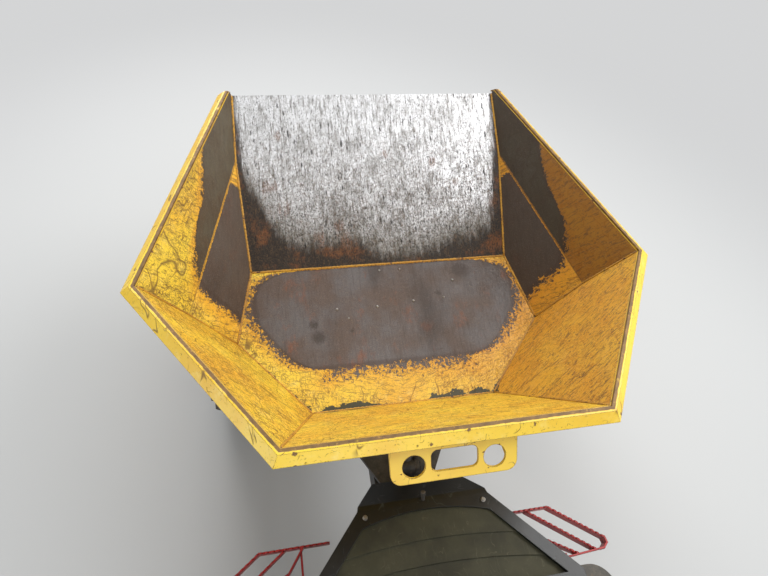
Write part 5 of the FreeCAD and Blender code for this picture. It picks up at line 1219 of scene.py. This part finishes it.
def puff(piece, look):
    # voxel skin, then pressure from inside, with each point's travel capped
    remesh = piece.modifiers.new("skin", "REMESH")
    remesh.mode = "VOXEL"
    remesh.voxel_size = look["voxel"]
    bpy.context.view_layer.update()
    depsgraph = bpy.context.evaluated_depsgraph_get()
    piece.data = bpy.data.meshes.new_from_object(piece.evaluated_get(depsgraph))
    piece.modifiers.clear()
    start = [v.co.copy() for v in piece.data.vertices]
    cloth = piece.modifiers.new("cloth", "CLOTH")
    cloth.settings.use_pressure = True
    cloth.settings.uniform_pressure_force = look["pressure"]
    cloth.settings.effector_weights.gravity = 0.0
    cloth.settings.quality = 5
    scene = bpy.context.scene
    for number in range(1, look["frames"] + 1):
        scene.frame_set(number)
    depsgraph = bpy.context.evaluated_depsgraph_get()
    swollen = bpy.data.meshes.new_from_object(piece.evaluated_get(depsgraph))
    piece.modifiers.clear()
    for vertex, before in zip(swollen.vertices, start):
        travel = vertex.co - before
        if travel.length > look["cap"]:
            vertex.co = before + travel.normalized() * look["cap"]
    piece.data = swollen
    scene.frame_set(1)


def refine(piece):
    smooth = piece.modifiers.new("fine", "SUBSURF")
    smooth.levels = 1
    smooth.render_levels = 1
    bpy.context.view_layer.update()
    depsgraph = bpy.context.evaluated_depsgraph_get()
    piece.data = bpy.data.meshes.new_from_object(piece.evaluated_get(depsgraph))
    piece.modifiers.clear()


def ridge(distance, width):
    return math.exp(-(distance / width) ** 2)


def sew(mesh, size, look, channels, keepBelow):
    # welts round the upper and lower edges, and channels across the top
    half = Vector(size) / 2
    normals = [v.normal.copy() for v in mesh.vertices]
    for vertex, normal in zip(mesh.vertices, normals):
        level = vertex.co.z / half.z
        side = 1 - abs(normal.z)
        push = look["weltHeight"] * ridge(vertex.co.z - half.z * 0.72, look["weltWidth"]) * side
        push -= look["weltHeight"] * 0.8 * ridge(vertex.co.z - half.z * 0.72 - 2.2 * look["weltWidth"],
                                                 look["weltWidth"]) * side
        push -= look["weltHeight"] * 0.8 * ridge(vertex.co.z - half.z * 0.72 + 2.2 * look["weltWidth"],
                                                 look["weltWidth"]) * side
        if level > 0.4 and normal.z > 0.2:
            for axis, place, start, end in channels:
                across, along = (vertex.co.x, vertex.co.y) if axis == "x" else (vertex.co.y, vertex.co.x)
                if start < along < end:
                    ends = min(1.0, (along - start) / 0.02, (end - along) / 0.02)
                    push -= look["channelDepth"] * ridge(across - place, look["channelWidth"]) * ends
        vertex.co += normal * push
        vertex.co.z = max(vertex.co.z, keepBelow)


def sewnPad(name, node, size, middle, lean, channels, stands):
    # the pad is made lying flat in its own frame, then leant and set in its place
    look = seat
    inner = [side - 2 * look["inset"] for side in size]
    inner[2] -= look["crown"]
    verts, faces = cushionForm(inner, look["corner"], look["crown"], look["waist"])
    mesh = plainMesh(name, verts, faces)
    piece = newPiece(name, mesh, finishes["seatVinyl"], "rear_frame")
    puff(piece, look)
    refine(piece)
    limits = [side / 2 + look["proud"] for side in size]
    for vertex in piece.data.vertices:
        for axis in range(3):
            vertex.co[axis] = max(-limits[axis], min(limits[axis], vertex.co[axis]))
        for axis, sign in stands:
            edge = size[axis] / 2 - look["rest"]
            if sign * vertex.co[axis] > edge:
                vertex.co[axis] = sign * edge
    sew(piece.data, size, look, channels, -size[2] / 2 + look["rest"])
    turn = Matrix.Rotation(math.radians(lean), 4, "X")
    piece.data.transform(Matrix.Translation(middle) @ turn)
    for face in piece.data.polygons:
        face.use_smooth = True
    piece.data.materials.clear()
    piece.data.materials.append(finishes["seatVinyl"])
    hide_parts(node)
    return piece


def buildSeat():
    low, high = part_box("seat_cushion")
    size = high - low
    reach = size.x / 2
    channels = [("y", size.y * share, -reach + 0.06, reach - 0.06) for share in (-0.22, 0.0, 0.22)]
    channels += [("x", side * (reach - 0.06), -size.y / 2 + 0.03, size.y / 2 - 0.03) for side in (-1, 1)]
    sewnPad("seat_cushion_pad", "seat_cushion", size, (low + high) / 2, 0.0, channels, [(2, -1), (1, -1)])
    # the back's own box before it leans
    low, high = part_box("seat_back")
    lean = math.radians(seat["lean"])
    spanY, spanZ = high.y - low.y, high.z - low.z
    depth = (spanY * math.cos(lean) - spanZ * math.sin(lean)) / math.cos(2 * lean)
    tall = (spanZ * math.cos(lean) - spanY * math.sin(lean)) / math.cos(2 * lean)
    size = Vector((high.x - low.x, tall, depth))
    channels = [("y", tall * share, -reach + 0.06, reach - 0.06) for share in (-0.28, -0.1, 0.08, 0.26)]
    channels += [("x", side * (reach - 0.06), -tall / 2 + 0.04, tall / 2 - 0.05) for side in (-1, 1)]
    sewnPad("seat_back_pad", "seat_back", size, (low + high) / 2, 90.0 + seat["lean"], channels, [(1, -1)])


buildSeat()
print("seat sewn")


# Floor, light and camera
studio = {
    "floorSize": 60.0, "floorColour": (0.50, 0.50, 0.495, 1.0), "backdrop": (0.66, 0.665, 0.67, 1.0),
    "floorFade": (2.3, 4.6),
    # light from overhead: brightest towards the bright side, weakest opposite it
    "skyColour": (0.95, 0.98, 1.0, 1.0), "skyAim": (0.66, 0.12, 0.74), "skyWeak": 0.16, "skyStrong": 1.15,
    # place, aim, size, power
    "key": ((2.9, 1.3, 4.4), (0.0, 0.4, 0.9), 2.6, 130.0),
    "rearFill": ((0.6, -6.0, 3.0), (0.0, 0.0, 0.9), 3.0, 110.0),
    "leftFill": ((-5.2, -0.6, 1.1), (0.0, 0.0, 0.6), 1.8, 70.0),
    "frontFill": ((-1.2, 5.4, 3.2), (0.0, 0.0, 0.9), 2.6, 170.0),
}


def makeFloor():
    mesh = bpy.data.meshes.new("floor")
    half = studio["floorSize"] / 2
    mesh.from_pydata([(-half, -half, 0), (half, -half, 0), (half, half, 0), (-half, half, 0)], [], [(0, 1, 2, 3)])
    floor = bpy.data.objects.new("floor", mesh)
    bpy.context.scene.collection.objects.link(floor)
    material = bpy.data.materials.new("studioFloor")
    material.use_nodes = True
    tree = material.node_tree
    shader = tree.nodes["Principled BSDF"]
    shader.inputs["Roughness"].default_value = 1.0
    shader.inputs["Specular IOR Level"].default_value = 0.0
    # far from the machine the floor passes into the backdrop
    place = addNode(tree, "ShaderNodeTexCoord").outputs["Object"]
    reach = addNode(tree, "ShaderNodeVectorMath", {0: place}, operation="LENGTH").outputs["Value"]
    near, far = studio["floorFade"]
    away = fade(tree, reach, near, far)
    wire(tree, shader.inputs["Base Color"], blendColour(tree, away, studio["floorColour"], (0.0, 0.0, 0.0, 1.0)))
    wire(tree, shader.inputs["Emission Color"], blendColour(tree, away, (0.0, 0.0, 0.0, 1.0), studio["backdrop"]))
    shader.inputs["Emission Strength"].default_value = 1.0
    mesh.materials.append(material)


def makeSky():
    world = bpy.data.worlds.new("studioWorld")
    bpy.context.scene.world = world
    world.use_nodes = True
    tree = world.node_tree
    sky = tree.nodes["Background"]
    sky.inputs["Color"].default_value = studio["skyColour"]
    aim = addNode(tree, "ShaderNodeTexCoord").outputs["Generated"]
    level = vectorCalc(tree, "DOT_PRODUCT", aim, tuple(Vector(studio["skyAim"]).normalized()))
    wire(tree, sky.inputs["Strength"], fade(tree, level, -0.35, 0.95, studio["skyWeak"], studio["skyStrong"]))
    plain = addNode(tree, "ShaderNodeBackground", {"Color": studio["backdrop"]})
    rays = addNode(tree, "ShaderNodeLightPath").outputs
    seen = calc(tree, "MAXIMUM", rays["Is Camera Ray"], rays["Is Glossy Ray"])
    seen = calc(tree, "MAXIMUM", seen, rays["Is Transmission Ray"])
    mix = addNode(tree, "ShaderNodeMixShader", {0: seen, 1: sky.outputs[0], 2: plain.outputs[0]})
    wire(tree, tree.nodes["World Output"].inputs["Surface"], mix.outputs[0])


def makeLamps():
    for name in ("key", "rearFill", "leftFill", "frontFill"):
        place, aim, size, power = studio[name]
        lamp = bpy.data.lights.new(name, "AREA")
        lamp.shape = "DISK"
        lamp.size = size
        lamp.energy = power
        holder = bpy.data.objects.new(name, lamp)
        holder.location = place
        holder.rotation_euler = (Vector(aim) - Vector(place)).to_track_quat("-Z", "Y").to_euler()
        bpy.context.scene.collection.objects.link(holder)


# The photograph's own viewpoint: place from the rim's corners, in metres, and angles in degrees
viewpoint = {"place": (-0.4145, -0.9719, 1.3997), "pitch": -55.8, "yaw": -19.6, "roll": -12.0,
             "focalPixels": 545.0, "imageWidth": 768}


def makeCamera():
    data = bpy.data.cameras.new("camera")
    data.sensor_width = 36.0
    data.lens = viewpoint["focalPixels"] * data.sensor_width / viewpoint["imageWidth"]
    camera = bpy.data.objects.new("camera", data)
    pitch, yaw, roll = (math.radians(viewpoint[name]) for name in ("pitch", "yaw", "roll"))
    look = Matrix.Rotation(yaw, 3, "Z") @ Matrix.Rotation(pitch, 3, "X") @ Matrix.Rotation(roll, 3, "Y")
    right, ahead, up = (look @ Vector(axis) for axis in ((1, 0, 0), (0, 1, 0), (0, 0, 1)))
    turn = Matrix((right, up, -ahead)).transposed().to_4x4()
    camera.matrix_world = Matrix.Translation(rimCorner + Vector(viewpoint["place"])) @ turn
    bpy.context.scene.collection.objects.link(camera)
    bpy.context.scene.camera = camera


makeFloor()
makeSky()
makeLamps()
makeCamera()
bpy.context.scene.view_settings.view_transform = "Standard"
print("studio and camera set")
